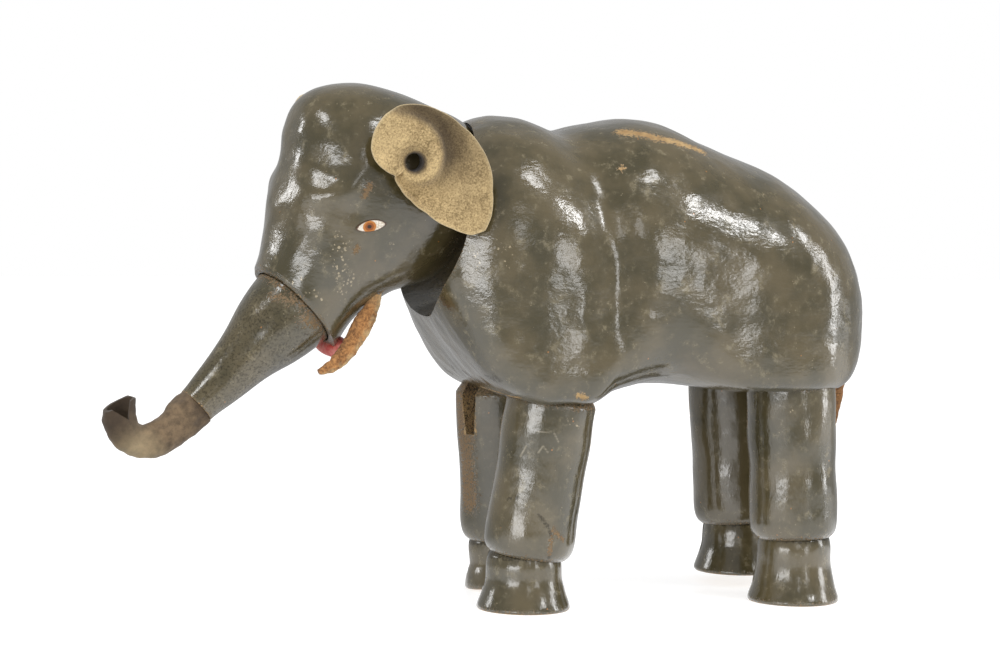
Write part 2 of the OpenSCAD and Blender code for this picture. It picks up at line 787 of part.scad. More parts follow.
function tusk_ring(t, side) =
    let (
        row = along(TUSK_ROWS, t),
        next = along(TUSK_ROWS, min(t + 0.05, len(TUSK_ROWS) - 1)),
        last = along(TUSK_ROWS, max(t - 0.05, 0)),
        dx = next[0] - last[0],
        dz = next[1] - last[1],
        run = norm([dx, dz]),
        w = row[3] * tusk_w / 2,
        thick = tusk_t / 2 * min(1, row[3] + 0.3)
    )
    [
        for (k = [0:9])
            let (a = k * 36)
            [-row[0] + w * cos(a) * dz / run, side * row[2] + thick * sin(a), row[1] + w * cos(a) * dx / run]
    ];

module tusk_blank(side) {
    head_place() skin([for (t = [0:0.5:len(TUSK_ROWS) - 1]) tusk_ring(t, side)]);
}

module tusk(side) {
    color(orange_leather)
    difference() {
        tusk_blank(side);
        tusk_nail_shape(side);
    }
}

// Small nail through the root of a tusk into the jaw, and its place in the head
tusk_nail_len = 7;
tusk_nail_at = [-18, 10.5, -32];
module tusk_nail_shape(side) {
    head_place() translate([tusk_nail_at[0], side * tusk_nail_at[1], tusk_nail_at[2]]) rotate([90, 0, 0])
        cylinder(h = tusk_nail_len, r = nail_r / 2, center = true, $fn = 16);
}

module tusk_nails() {
    color(steel)
    for (side = [-1, 1]) tusk_nail_shape(side);
}

// Frame of the tail: the origin at its nail, in a hole under the rump
tail_inset = 5.2;
tail_rise = 16;
tail_nail_len = 12;
tail_hole_r = 3.4;
module tail_place() {
    translate([rump_x - tail_inset, 0, base_z + tail_rise]) children();
}

module tail_hole() {
    translate([0, 0, -20]) cylinder(h = 20 + tail_hole_r, r = tail_hole_r);
    cross_nail(tail_nail_len, nail_r);
}

// Half widths of the tail on its front and rear sides, at parts of its length
TAIL_ROWS = [[0, -0.45, 0.45], [0.2, -0.4, 0.55], [0.42, -0.3, 1], [0.65, -0.02, 0.9], [0.85, 0.15, 0.65], [1, 0.3, 0.45]];
module tail() {
    eye_r = nail_r + tail_t;
    side = [for (t = [0:0.5:len(TAIL_ROWS) - 1]) along(TAIL_ROWS, t)];
    color(orange_leather)
    tail_place() difference() {
        rotate([90, 0, 0]) linear_extrude(height = tail_t, center = true)
            union() {
                circle(r = eye_r);
                polygon(concat(
                    [for (p = side) [p[1] * tail_w, -p[0] * tail_len]],
                    [for (k = [len(side) - 1:-1:0]) [side[k][2] * tail_w, -side[k][0] * tail_len]]
                ));
            }
        cross_nail(tail_w + 2, nail_r + nail_gap);
    }
}

module tail_nail() {
    color(steel)
    tail_place() cross_nail(tail_nail_len, nail_r);
}

torso();
hip_anchor_brads();
neck_brad();
for (i = [0:3]) {
    hip_cord(i);
    leg(i);
    hip_nail(i);
    ankle_brad(i);
    foot_cord(i);
    foot(i);
    foot_nail(i);
}
neck_cord();
neck_pin();
head();
ear(-1);  // ear_left
ear(1);  // ear_right
tusk(-1);  // tusk_left
tusk(1);  // tusk_right
tusk_nails();
trunk_brad();
trunk_cord();
trunk_pin();
trunk();
trunk_tip();
trunk_tack();
tail();
tail_nail();
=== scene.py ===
# %% [markdown]
# An elastic-strung wooden elephant, carved and turned from wood and painted in glossy olive-grey enamel, with
# ears, tusks, trunk tip and tail of leather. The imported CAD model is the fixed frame. Each visible piece is
# made again here as a smooth surface worked out with numpy, with the paint, wear and leather of the real toy.

# %% The frame
import math

import bpy
import numpy as np
from mathutils import Matrix


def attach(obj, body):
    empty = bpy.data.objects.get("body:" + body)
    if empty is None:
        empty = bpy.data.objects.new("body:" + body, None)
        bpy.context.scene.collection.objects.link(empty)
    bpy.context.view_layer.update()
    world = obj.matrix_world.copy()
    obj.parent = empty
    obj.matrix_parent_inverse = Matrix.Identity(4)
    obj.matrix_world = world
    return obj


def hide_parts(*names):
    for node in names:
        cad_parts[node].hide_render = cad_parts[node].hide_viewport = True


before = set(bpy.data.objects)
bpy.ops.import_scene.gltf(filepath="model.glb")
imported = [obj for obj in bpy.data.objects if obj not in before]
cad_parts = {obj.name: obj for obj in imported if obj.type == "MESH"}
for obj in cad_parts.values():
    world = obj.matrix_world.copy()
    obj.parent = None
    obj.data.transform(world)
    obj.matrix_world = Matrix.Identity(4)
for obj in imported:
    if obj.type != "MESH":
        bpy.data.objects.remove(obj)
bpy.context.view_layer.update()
MM = 0.001
LEGS = ["front_left", "front_right", "rear_left", "rear_right"]

# %% [markdown]
# The camera stands where the photographer stood: ahead of the animal's left side, a little above its middle,
# with the picture turned by one degree. Building the view from its own axes avoids guessing at angles.

# %% Camera
VIEW_TURN = math.radians(18)
VIEW_RISE = math.radians(3.5)
VIEW_ROLL = math.radians(1.0)
VIEW_DISTANCE = 0.9
VIEW_TARGET = np.array([4.4, 0, 90.6]) * MM
LENS = 96.2


def add_camera():
    """Camera whose back axis points from the target to the eye, rolled about that axis."""
    back = np.array([
        -math.sin(VIEW_TURN) * math.cos(VIEW_RISE),
        -math.cos(VIEW_TURN) * math.cos(VIEW_RISE),
        math.sin(VIEW_RISE),
    ])
    right = np.array([math.cos(VIEW_TURN), -math.sin(VIEW_TURN), 0])
    up = np.cross(back, right)
    rolled_right = math.cos(VIEW_ROLL) * right + math.sin(VIEW_ROLL) * up
    rolled_up = -math.sin(VIEW_ROLL) * right + math.cos(VIEW_ROLL) * up
    place = np.eye(4)
    place[:3, 0] = rolled_right
    place[:3, 1] = rolled_up
    place[:3, 2] = back
    place[:3, 3] = VIEW_TARGET + VIEW_DISTANCE * back
    camera = bpy.data.objects.new("camera", bpy.data.cameras.new("camera"))
    camera.data.lens = LENS
    camera.data.sensor_width = 36
    camera.data.clip_start = 0.01
    camera.matrix_world = Matrix(place.tolist())
    bpy.context.scene.collection.objects.link(camera)
    bpy.context.scene.camera = camera


add_camera()

# %% [markdown]
# Colours are written as the hex values that a paint card or a photograph gives, and one function turns them
# into the linear numbers that Blender works with. One small function adds a node, its settings and its links.

# %% Colours and nodes
WHITE = (1, 1, 1, 1)
# Settings of a ramp with smooth ends, and of a mix of colours: its socket 0 is the share of the second
# colour, its sockets 6 and 7 are the two colours, and its output 2 is the colour between them
SMOOTH = {"interpolation_type": "SMOOTHSTEP"}
COLOURS = {"data_type": "RGBA"}


def hex_colour(code):
    """Linear colour from an sRGB hex value: each channel is undone by the sRGB curve."""
    channels = np.array([int(code[k:k + 2], 16) for k in (0, 2, 4)]) / 255
    linear = np.where(channels <= 0.04045, channels / 12.92, ((channels + 0.055) / 1.055) ** 2.4)
    return (*linear.tolist(), 1.0)


def add(tree, kind, inputs=None, **settings):
    """Add a node, give it its settings, and set or link its inputs."""
    node = tree.nodes.new("ShaderNode" + kind)
    for name, value in settings.items():
        setattr(node, name, value)
    for socket, value in (inputs or {}).items():
        if isinstance(value, bpy.types.NodeSocket):
            tree.links.new(value, node.inputs[socket])
        else:
            node.inputs[socket].default_value = value
    return node


def new_material(name):
    """Empty node material with its output, and object coordinates in millimetres."""
    material = bpy.data.materials.new(name)
    material.use_nodes = True
    tree = material.node_tree
    tree.nodes.clear()
    output = add(tree, "OutputMaterial")
    place = add(tree, "TexCoord").outputs["Object"]
    millimetres = add(tree, "VectorMath", {0: place, 1: (1000, 1000, 1000)}, operation="MULTIPLY").outputs[0]
    return material, tree, output, millimetres

# %% [markdown]
# The photograph was taken with soft boxes, and their reflections on the enamel say where they stood. Each box
# here makes one highlight and little else. The plain light comes from the world, strongest from ahead and
# above, because a few small lamps alone would leave hard shadows. The camera sees white behind the toy. The
# floor is a white sheet that keeps a faint shadow and a faint reflection of the feet.

# %% World, lamps and floor
# Where the plain light is strongest: ahead of the animal's left side, and above
KEY_WAY = (-0.25, -0.79, 0.56)


def add_world():
    """White to the camera, a nearly even grey room to gloss, and plain light that grows towards KEY_WAY."""
    world = bpy.data.worlds.new("studio")
    world.use_nodes = True
    tree = world.node_tree
    tree.nodes.clear()
    output = add(tree, "OutputWorld")
    path = add(tree, "LightPath")
    direction = add(tree, "TexCoord").outputs["Generated"]
    across = add(tree, "SeparateXYZ", {0: direction}).outputs["Y"]
    behind = add(tree, "MapRange", {"Value": across, "From Min": -0.25, "From Max": 0.6}, **SMOOTH).outputs[0]
    gloss_strength = add(tree, "MapRange", {"Value": behind, "To Min": 0.4, "To Max": 0.42}).outputs[0]
    facing = add(tree, "VectorMath", {0: direction, 1: KEY_WAY}, operation="DOT_PRODUCT").outputs["Value"]
    growth = {"Value": facing, "From Min": -0.5, "From Max": 1, "To Min": 0.3, "To Max": 1.3}
    plain_strength = add(tree, "MapRange", growth).outputs[0]
    plain = add(tree, "Background", {"Color": WHITE, "Strength": plain_strength}).outputs[0]
    gloss = add(tree, "Background", {"Color": WHITE, "Strength": gloss_strength}).outputs[0]
    white = add(tree, "Background", {"Color": WHITE, "Strength": 1.0}).outputs[0]
    rays = {0: path.outputs["Is Glossy Ray"], 1: path.outputs["Is Transmission Ray"]}
    gloss_ray = add(tree, "Math", rays, operation="MAXIMUM").outputs[0]
    unseen = add(tree, "MixShader", {0: gloss_ray, 1: plain, 2: gloss}).outputs[0]
    shown = add(tree, "MixShader", {0: path.outputs["Is Camera Ray"], 1: unseen, 2: white}).outputs[0]
    tree.links.new(shown, output.inputs["Surface"])
    bpy.context.scene.world = world


add_world()
# Each soft box: name, turn from straight ahead of the left side towards the tail, rise, width, height and
# power. Angles are in degrees, lengths in metres, power in watts.
SOFT_BOXES = [
    ("window_box", 25, 51, 0.24, 0.22, 1.9),
    ("low_strip", 21, -2, 0.13, 0.5, 1.3),
    ("barrel_box", 38, 28, 0.11, 0.24, 2.0),
    ("rump_box", 64, 28, 0.10, 0.18, 1.3),
    ("right_strip", 70, 8, 0.16, 0.6, 2.8),
    ("brow_card", -50, 0, 0.8, 0.22, 3.8),
    ("ahead_card", -2, 13, 0.12, 0.30, 0.35),
    ("left_top_box", -68, 44, 0.26, 0.26, 1.9),
    ("far_left_box", -120, 14, 0.22, 0.18, 1.1),
]
BOX_DISTANCE = 1.3
BOX_AIM = np.array([0, 0, 0.09])


def add_soft_box(name, turn, rise, width, height, power):
    """Rectangular lamp in that direction from the toy, facing it, upright."""
    turn, rise = math.radians(turn), math.radians(rise)
    out = np.array([math.sin(turn) * math.cos(rise), -math.cos(turn) * math.cos(rise), math.sin(rise)])
    right = np.cross([0, 0, 1], out)
    right /= np.linalg.norm(right)
    lamp = bpy.data.objects.new(name, bpy.data.lights.new(name, "AREA"))
    lamp.data.shape = "RECTANGLE"
    lamp.data.size = width
    lamp.data.size_y = height
    lamp.data.energy = power
    place = np.eye(4)
    place[:3, 0] = right
    place[:3, 1] = np.cross(out, right)
    place[:3, 2] = out
    place[:3, 3] = BOX_AIM + BOX_DISTANCE * out
    lamp.matrix_world = Matrix(place.tolist())
    bpy.context.scene.collection.objects.link(lamp)


for box in SOFT_BOXES:
    add_soft_box(*box)


def add_floor():
    """White sheet: mostly its own white, with a part that takes shadow and a faint gloss."""
    half = 2.5
    corners = [(-half, -half, 0), (half, -half, 0), (half, half, 0), (-half, half, 0)]
    mesh = bpy.data.meshes.new("floor")
    mesh.from_pydata(corners, [], [(0, 1, 2, 3)])
    floor = bpy.data.objects.new("floor", mesh)
    bpy.context.scene.collection.objects.link(floor)
    material, tree, output, place = new_material("white_acrylic_sheet")
    path = add(tree, "LightPath")
    own = add(tree, "Emission", {"Color": WHITE, "Strength": 0.72}).outputs[0]
    lit = add(tree, "BsdfDiffuse", {"Color": (0.45, 0.45, 0.45, 1)}).outputs[0]
    gloss = add(tree, "BsdfGlossy", {"Color": (0.16, 0.16, 0.165, 1), "Roughness": 0.16}).outputs[0]
    matt = add(tree, "AddShader", {0: own, 1: lit}).outputs[0]
    shown = add(tree, "AddShader", {0: matt, 1: gloss}).outputs[0]
    bounce = add(tree, "Emission", {"Color": WHITE, "Strength": 0.7}).outputs[0]
    # In the gloss the sheet is brightest just ahead of the toy, and dim behind it
    ahead = add(tree, "SeparateXYZ", {0: place}).outputs["Y"]
    rise = {"Value": ahead, "From Min": -700, "From Max": -130, "To Min": 0.5, "To Max": 1.5}
    near = add(tree, "MapRange", rise, **SMOOTH).outputs[0]
    fall = {"Value": ahead, "From Min": -60, "From Max": 120, "To Min": near, "To Max": 0.45}
    fading = add(tree, "MapRange", fall, **SMOOTH).outputs[0]
    white = add(tree, "Emission", {"Color": WHITE, "Strength": fading}).outputs[0]
    unseen = add(tree, "MixShader", {0: path.outputs["Is Glossy Ray"], 1: bounce, 2: white}).outputs[0]
    surface = add(tree, "MixShader", {0: path.outputs["Is Camera Ray"], 1: unseen, 2: shown}).outputs[0]
    tree.links.new(surface, output.inputs["Surface"])
    mesh.materials.append(material)


add_floor()
bpy.context.scene.view_settings.view_transform = "Standard"
print("soft boxes:", len(SOFT_BOXES))

# %% [markdown]
# Every piece below is a grid of points from a formula, because a formula can be drawn as finely as a smooth
# surface needs. These helpers carry a curve through rows of measured numbers, join rings of points into a
# closed skin, make a piece of it, and cut one piece with another.

# %% Surfaces


def along(rows, t):
    """Catmull-Rom curve: at each t, a cubic through the rows on both sides whose slope at a row is half the
    step between its neighbours."""
    rows = np.asarray(rows, float)
    t = np.atleast_1d(np.asarray(t, float))
    i = np.minimum(np.floor(t).astype(int), len(rows) - 2)
    f = (t - i)[:, None]
    a, b, c, d = (rows[np.clip(i + k, 0, len(rows) - 1)] for k in (-1, 0, 1, 2))
    square = 2 * a - 5 * b + 4 * c - d
    cube = 3 * b - a - 3 * c + d
    return 0.5 * (2 * b + (c - a) * f + square * f ** 2 + cube * f ** 3)


def turn_about(axis, degrees):
    """Rotation matrix about X, Y or Z."""
    return np.array(Matrix.Rotation(math.radians(degrees), 3, axis))


def ripple(points, size, seed, waves=14):
    """Smooth noise of about unit height: a sum of seeded sine waves, each about that many mm long."""
    random = np.random.default_rng(seed)
    way = random.normal(size=(waves, 3))
    way /= np.linalg.norm(way, axis=1, keepdims=True)
    way *= 2 * np.pi / (size * random.uniform(0.7, 1.5, (waves, 1)))
    phase = random.uniform(0, 2 * np.pi, waves)
    return np.sin(points @ way.T + phase).sum(-1) * math.sqrt(2 / waves)


def grid_normals(grid):
    """Unit normals of a closed grid of rings: the cross product of the differences along both ways."""
    down = np.gradient(grid, axis=0)
    round_about = (np.roll(grid, -1, axis=1) - np.roll(grid, 1, axis=1)) / 2
    normal = np.cross(round_about, down)
    length = np.linalg.norm(normal, axis=-1, keepdims=True)
    normal = normal / np.maximum(length, 1e-9)
    centre = grid.mean((0, 1))
    if (normal * (grid - centre)).sum() < 0:
        normal = -normal
    return normal


def skin_faces(rings, points_each, first, last):
    """Quads between neighbouring rings and fans from the end rings to the points numbered first and last."""
    j, k = np.meshgrid(np.arange(rings - 1), np.arange(points_each), indexing="ij")
    a = j * points_each + k
    b = j * points_each + (k + 1) % points_each
    quads = np.stack([a, b, b + points_each, a + points_each], -1).reshape(-1, 4).tolist()
    k = np.arange(points_each)
    after = (k + 1) % points_each
    end = (rings - 1) * points_each
    front = np.stack([np.full(points_each, first), after, k], -1).tolist()
    back = np.stack([np.full(points_each, last), end + k, end + after], -1).tolist()
    return quads + front + back


def signed_volume(points, faces):
    """Six times the volume: over the triangles, the sum of one corner dotted with the others' cross."""
    triangles = np.array([(f[0], f[k], f[k + 1]) for f in faces for k in range(1, len(f) - 1)])
    a, b, c = (points[triangles[:, k]] for k in range(3))
    return (a * np.cross(b, c)).sum()


def put_mesh(name, points, faces):
    """Mesh object in metres from points in millimetres, with its faces pointing outwards."""
    points = np.asarray(points, float)
    if signed_volume(points, faces) < 0:
        faces = [f[::-1] for f in faces]
    mesh = bpy.data.meshes.new(name)
    mesh.from_pydata((points * MM).tolist(), [], faces)
    mesh.update()
    piece = bpy.data.objects.new(name, mesh)
    bpy.context.scene.collection.objects.link(piece)
    return piece


def skin(name, grid):
    """Closed piece over a grid of rings, each end closed to its middle."""
    rings, points_each = grid.shape[:2]
    points = np.concatenate([grid.reshape(-1, 3), grid[:1].mean(1), grid[-1:].mean(1)])
    return put_mesh(name, points, skin_faces(rings, points_each, len(points) - 2, len(points) - 1))


def revolve(radii, heights, place, points_each=96, wobble=0.0, seed=1):
    """Grid of rings round Z with the profile's radii and a slight seeded unevenness, then placed."""
    angle = np.linspace(0, 2 * np.pi, points_each, endpoint=False)
    radii = np.asarray(radii, float)[:, None] * np.ones_like(angle)
    heights = np.asarray(heights, float)[:, None] * np.ones_like(angle)
    points = np.stack([radii * np.cos(angle), radii * np.sin(angle), heights], -1)
    if wobble:
        grow = 1 + wobble * ripple(points, 16, seed)[..., None] / np.maximum(radii[..., None], 4)
        points = points * np.concatenate([grow, grow, np.ones_like(grow)], -1)
    turn, shift = place
    return points @ turn.T + shift


def apply_modifiers(piece):
    """Keep what the modifiers make, and drop the modifiers."""
    made = bpy.data.meshes.new_from_object(piece.evaluated_get(bpy.context.evaluated_depsgraph_get()))
    piece.modifiers.clear()
    piece.data = made


def carve(piece, cutters):
    """Cut solids out of a piece, one after another."""
    for cutter in cutters:
        modifier = piece.modifiers.new("cut", "BOOLEAN")
        modifier.operation = "DIFFERENCE"
        modifier.solver = "MANIFOLD"
        modifier.object = cutter
        apply_modifiers(piece)
        bpy.data.objects.remove(cutter)


def mesh_points(piece):
    """Vertices of a piece in millimetres."""
    points = np.empty(len(piece.data.vertices) * 3, np.float32)
    piece.data.vertices.foreach_get("co", points)
    return points.reshape(-1, 3).astype(float) / MM


def finish_piece(piece, body, material, nodes, sharp=38):
    """Shade smooth but for sharp edges, give the material, and say what the piece rides on and replaces."""
    piece.data.shade_smooth()
    if sharp:
        piece.data.set_sharp_from_angle(angle=math.radians(sharp))
    piece.data.materials.clear()
    piece.data.materials.append(material)
    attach(piece, body)
    if nodes:
        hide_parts(*nodes)
    print(piece.name, len(piece.data.vertices), "vertices")


def ball(name, centre, radius):
    """Sphere as a closed skin, made as a revolved half circle."""
    a = np.linspace(0, np.pi, 49)[1:-1]
    return skin(name, revolve(radius * np.sin(a), radius * np.cos(a), (np.eye(3), np.asarray(centre, float))))


def rod(name, radius, start, end, place):
    """Round rod along Z between two heights."""
    return skin(name, revolve([radius, radius], [start, end], place, 48))


def prism(name, outline, start, end, place):
    """Straight bar between two places along Y whose section is a convex outline in X and Z."""
    outline = np.asarray(outline, float)
    ring = np.stack([outline[:, 0], np.zeros(len(outline)), outline[:, 1]], -1)
    grid = np.stack([ring + [0, start, 0], ring + [0, end, 0]])
    turn, shift = place
    return skin(name, grid @ turn.T + shift)

# %% [markdown]
# Old enamel wears through at the places that are rubbed. The wear could be painted on by hand, but a short
# list of marks can be read and changed. Each mark below is a short line on the surface. A point's value is
# one at the mark and falls to nothing at its edge, so that a material can break that edge up with noise.

# %% Wear


def wear_value(points, marks):
    """Largest over the marks of one minus the distance to the mark's line over its reach, not below zero."""
    value = np.zeros(len(points))
    for start, end, reach in marks:
        start, end = np.asarray(start, float), np.asarray(end, float)
        run = end - start
        share = np.clip((points - start) @ run / max(run @ run, 1e-9), 0, 1)
        distance = np.linalg.norm(points - start - share[:, None] * run, axis=1)
        value = np.maximum(value, 1 - distance / reach)
    return np.maximum(value, 0)


def store(piece, name, values):
    """Keep one number for each point of a piece, for its material to read."""
    attribute = piece.data.attributes.get(name) or piece.data.attributes.new(name, "FLOAT", "POINT")
    attribute.data.foreach_set("value", np.asarray(values, np.float32))

# %% [markdown]
# The paint is an oil enamel brushed over wood: a dark olive grey, glossy, with the brush's ripple and the
# grain showing in its highlights. It is mottled by age, has rusty specks and pale scuffs, and is worn to the
# brown undercoat and the bare wood at edges. Grime darkens it, and so does painted shade in hollows and
# joints; one pale mark on the bowl's rim is a painted highlight. One function makes it for carved and for
# turned wood, which differ only in how far the ripple is drawn out along the grain.

# %% Enamel
OIL_ENAMEL = "574d35"
OIL_ENAMEL_DARK = "3d3720"
OIL_ENAMEL_PALE = "766c52"
UNDERCOAT = "7a6244"
BARE_WOOD = "b49668"
AGED_WOOD = "94744a"
RUST_SPECK = "9a6833"
SCUFF = "b0a58e"
FLECK = "ab9c7f"
# Colour of grime, and of painted shade in hollows and joints
GRIME_AND_SHADE = "26200f"
# How far noise breaks up the edge of each kind of mark
EDGE_SPREADS = {"scuff_and_highlight": 2.0, "worn": 1.25, "bare": 1.2, "grime_and_shade": 1.3}


def edge_masks(tree, place):
    """The values kept on the points as masks, with their edges broken up by noise, under their own names."""
    noise = {"Vector": place, "Scale": 1.3, "Detail": 6.0, "Roughness": 0.8}
    ragged = add(tree, "TexNoise", noise).outputs["Fac"]
    offset = add(tree, "Math", {0: ragged, 1: 3.0, 2: -1.5}, operation="MULTIPLY_ADD").outputs[0]
    masks = {}
    for key, spread in EDGE_SPREADS.items():
        value = add(tree, "Attribute", attribute_name=key).outputs["Fac"]
        shifted = add(tree, "Math", {0: offset, 1: spread, 2: value}, operation="MULTIPLY_ADD").outputs[0]
        edge = {"Value": shifted, "From Min": 0.4, "From Max": 0.6}
        sharp = add(tree, "MapRange", edge, **SMOOTH).outputs[0]
        any_mark = add(tree, "Math", {0: value, 1: 0.02}, operation="GREATER_THAN").outputs[0]
        masks[key] = add(tree, "Math", {0: sharp, 1: any_mark}, operation="MULTIPLY").outputs[0]
    return masks


def add_flecks(tree, place, small, scuff_and_highlight, tone):
    """Tone with pale flecks of chipped paint, 0.25 to 0.65 mm, in some of the 1.3 mm cells. In a scuff they
    are larger and close together, and along the near rim of the body's bowl they paint a highlight."""
    chips = add(tree, "TexVoronoi", {"Vector": place, "Scale": 0.75, "Randomness": 1.0})
    pick = add(tree, "SeparateColor", {0: chips.outputs["Color"]}).outputs["Green"]
    clouds = {"Value": small, "From Min": 0.45, "From Max": 0.75, "To Min": 0.02, "To Max": 0.4}
    zone = add(tree, "MapRange", clouds).outputs[0]
    zone = add(tree, "Math", {0: scuff_and_highlight, 1: 0.9, 2: zone}, operation="MULTIPLY_ADD").outputs[0]
    thick = add(tree, "Math", {0: pick, 1: zone}, operation="LESS_THAN").outputs[0]
    size = add(tree, "MapRange", {"Value": chips.outputs["Color"], "To Min": 0.09, "To Max": 0.24}).outputs[0]
    size = add(tree, "Math", {0: scuff_and_highlight, 1: 0.16, 2: size}, operation="MULTIPLY_ADD").outputs[0]
    chip = add(tree, "Math", {0: chips.outputs["Distance"], 1: size}, operation="LESS_THAN").outputs[0]
    fleck = add(tree, "Math", {0: chip, 1: thick}, operation="MULTIPLY").outputs[0]
    strength = add(tree, "MapRange", {"Value": scuff_and_highlight, "To Min": 0.5, "To Max": 0.8}).outputs[0]
    share = add(tree, "Math", {0: fleck, 1: strength}, operation="MULTIPLY").outputs[0]
    return add(tree, "Mix", {0: share, 6: tone, 7: hex_colour(FLECK)}, **COLOURS).outputs[2]


def enamel(name, stretch, speck_share=0.10):
    """Enamel whose fine ripple is drawn out by the stretch, with rust in a share of its cells, and wear."""
    material, tree, output, place = new_material(name)
    # Mottling about 20 mm across, and smaller clouds of 4 mm
    mottling = {"Vector": place, "Scale": 0.05, "Detail": 4.0, "Roughness": 0.6}
    large = add(tree, "TexNoise", mottling).outputs["Fac"]
    clouds = {"Vector": place, "Scale": 0.25, "Detail": 5.0, "Roughness": 0.65}
    small = add(tree, "TexNoise", clouds).outputs["Fac"]
    share = add(tree, "MapRange", {"Value": large, "From Min": 0.36, "From Max": 0.64}, **SMOOTH).outputs[0]
    dark, middle = hex_colour(OIL_ENAMEL_DARK), hex_colour(OIL_ENAMEL)
    tone = add(tree, "Mix", {0: share, 6: dark, 7: middle}, **COLOURS).outputs[2]
    share = add(tree, "MapRange", {"Value": small, "From Min": 0.52, "From Max": 0.8}, **SMOOTH).outputs[0]
    tone = add(tree, "Mix", {0: share, 6: tone, 7: hex_colour(OIL_ENAMEL_PALE)}, **COLOURS).outputs[2]
    # Rusty specks about 0.5 mm across, one in some of the 3.5 mm cells
    cells = add(tree, "TexVoronoi", {"Vector": place, "Scale": 0.28, "Randomness": 1.0})
    inner = add(tree, "Math", {0: cells.outputs["Distance"], 1: 0.075}, operation="LESS_THAN").outputs[0]
    chosen = add(tree, "SeparateColor", {0: cells.outputs["Color"]}).outputs["Red"]
    few = add(tree, "Math", {0: chosen, 1: speck_share}, operation="LESS_THAN").outputs[0]
    speck = add(tree, "Math", {0: inner, 1: few}, operation="MULTIPLY").outputs[0]
    tone = add(tree, "Mix", {0: speck, 6: tone, 7: hex_colour(RUST_SPECK)}, **COLOURS).outputs[2]
    # Grime and painted shade, flecks, scratches, undercoat and bare wood, one over another
    masks = edge_masks(tree, place)
    share = add(tree, "Math", {0: masks["grime_and_shade"], 1: 0.7}, operation="MULTIPLY").outputs[0]
    tone = add(tree, "Mix", {0: share, 6: tone, 7: hex_colour(GRIME_AND_SHADE)}, **COLOURS).outputs[2]
    tone = add_flecks(tree, place, small, masks["scuff_and_highlight"], tone)
    scratch = add(tree, "Attribute", attribute_name="scratch").outputs["Fac"]
    faint = {"Value": scratch, "From Min": 0.5, "From Max": 0.95, "To Max": 0.5}
    line = add(tree, "MapRange", faint).outputs[0]
    tone = add(tree, "Mix", {0: line, 6: tone, 7: hex_colour(SCUFF)}, **COLOURS).outputs[2]
    tone = add(tree, "Mix", {0: masks["worn"], 6: tone, 7: hex_colour(UNDERCOAT)}, **COLOURS).outputs[2]
    share = add(tree, "MapRange", {"Value": small, "From Min": 0.35, "From Max": 0.7}, **SMOOTH).outputs[0]
    bare, aged = hex_colour(BARE_WOOD), hex_colour(AGED_WOOD)
    wood = add(tree, "Mix", {0: share, 6: bare, 7: aged}, **COLOURS).outputs[2]
    tone = add(tree, "Mix", {0: masks["bare"], 6: tone, 7: wood}, **COLOURS).outputs[2]
    # Ripple of brush and grain about 1.2 mm across, and slow unevenness of 6 mm
    turned = add(tree, "Mapping", {"Vector": place, "Scale": stretch}).outputs[0]
    ripples = {"Vector": turned, "Scale": 0.85, "Detail": 3.0, "Roughness": 0.55}
    fine = add(tree, "TexNoise", ripples).outputs["Fac"]
    swells = {"Vector": place, "Scale": 0.16, "Detail": 2.0, "Roughness": 0.5}
    slow = add(tree, "TexNoise", swells).outputs["Fac"]
    height = add(tree, "Math", {0: slow, 1: 1.8, 2: fine}, operation="MULTIPLY_ADD").outputs[0]
    through = add(tree, "Math", {0: masks["bare"], 1: masks["worn"]}, operation="MAXIMUM").outputs[0]
    height = add(tree, "Math", {0: through, 1: -1.5, 2: height}, operation="MULTIPLY_ADD").outputs[0]
    bump = add(tree, "Bump", {"Height": height, "Strength": 0.4, "Distance": 0.00022}).outputs[0]
    polish = {"Value": small, "From Min": 0.3, "From Max": 0.7, "To Min": 0.14, "To Max": 0.3}
    smooth = add(tree, "MapRange", polish).outputs[0]
    rough = add(tree, "MapRange", {"Value": through, "To Min": smooth, "To Max": 0.7}).outputs[0]
    # The coat's gloss is gone where the paint is worn through, and weaker under grime and painted shade
    dull = add(tree, "Math", {0: masks["grime_and_shade"], 1: 0.7, 2: through}, operation="MULTIPLY_ADD").outputs[0]
    coat = add(tree, "MapRange", {"Value": dull, "To Min": 1.0, "To Max": 0.0}).outputs[0]
    shader = add(tree, "BsdfPrincipled", {"Base Color": tone, "Roughness": rough, "Normal": bump, "IOR": 1.5,
                                          "Coat Weight": coat, "Coat Roughness": 0.14, "Coat Normal": bump})
    tree.links.new(shader.outputs[0], output.inputs["Surface"])
    return material


body_enamel = enamel("oil_enamel_on_carved_wood", (0.55, 1, 1))
leg_enamel = enamel("oil_enamel_on_turned_wood", (1, 1, 0.4), 0.14)
print("enamels:", body_enamel.name, leg_enamel.name)

# %% [markdown]
# The body is one carved block: a shoulder block, a groove, a barrel and a rump. It could be sculpted, but a
# loft keeps its sizes: rounded sections stand along the body, and a smooth curve carries their height, width
# and squareness. The hollow for the head and the seats for the legs are cut out, as the maker cut them.

# %% Body block
LEG_LEN, LEG_TRACK, LEG_SPACING, REAR_HIP_X = 48.5, 43, 88, 102.3
ANKLE_Z, REAR_ANKLE_RISE, REAR_RIGHT_LIFT, HIP_DROP = 12, 3.9, 4.2, 7.6
LEG_SWING = [8, -4.2, -2.4, -4.1]
LEG_TURN = [-19, 27, -24, -20]
LEG_AHEAD = [LEG_SPACING, LEG_SPACING + 2.2, 0, 4]
FOOT_TURN = [0, -44, 0, 0]
FOOT_TILT = [0, -10, 0, 0]
HIP_DOME_R, ANKLE_DOME_R, SEAT_GAP = 17.6, 13.4, 0.3
BODY_L, BODY_H, BODY_W = 162.5, 95.8, 84
BASE_Z = ANKLE_Z + LEG_LEN + HIP_DROP
RUMP_X = REAR_HIP_X + 29.9
CHEST_X = RUMP_X - BODY_L
NECK = np.array([CHEST_X + 3, 0, BASE_Z + 69.6])
BALL_R, BOWL_R = 28.5, 36
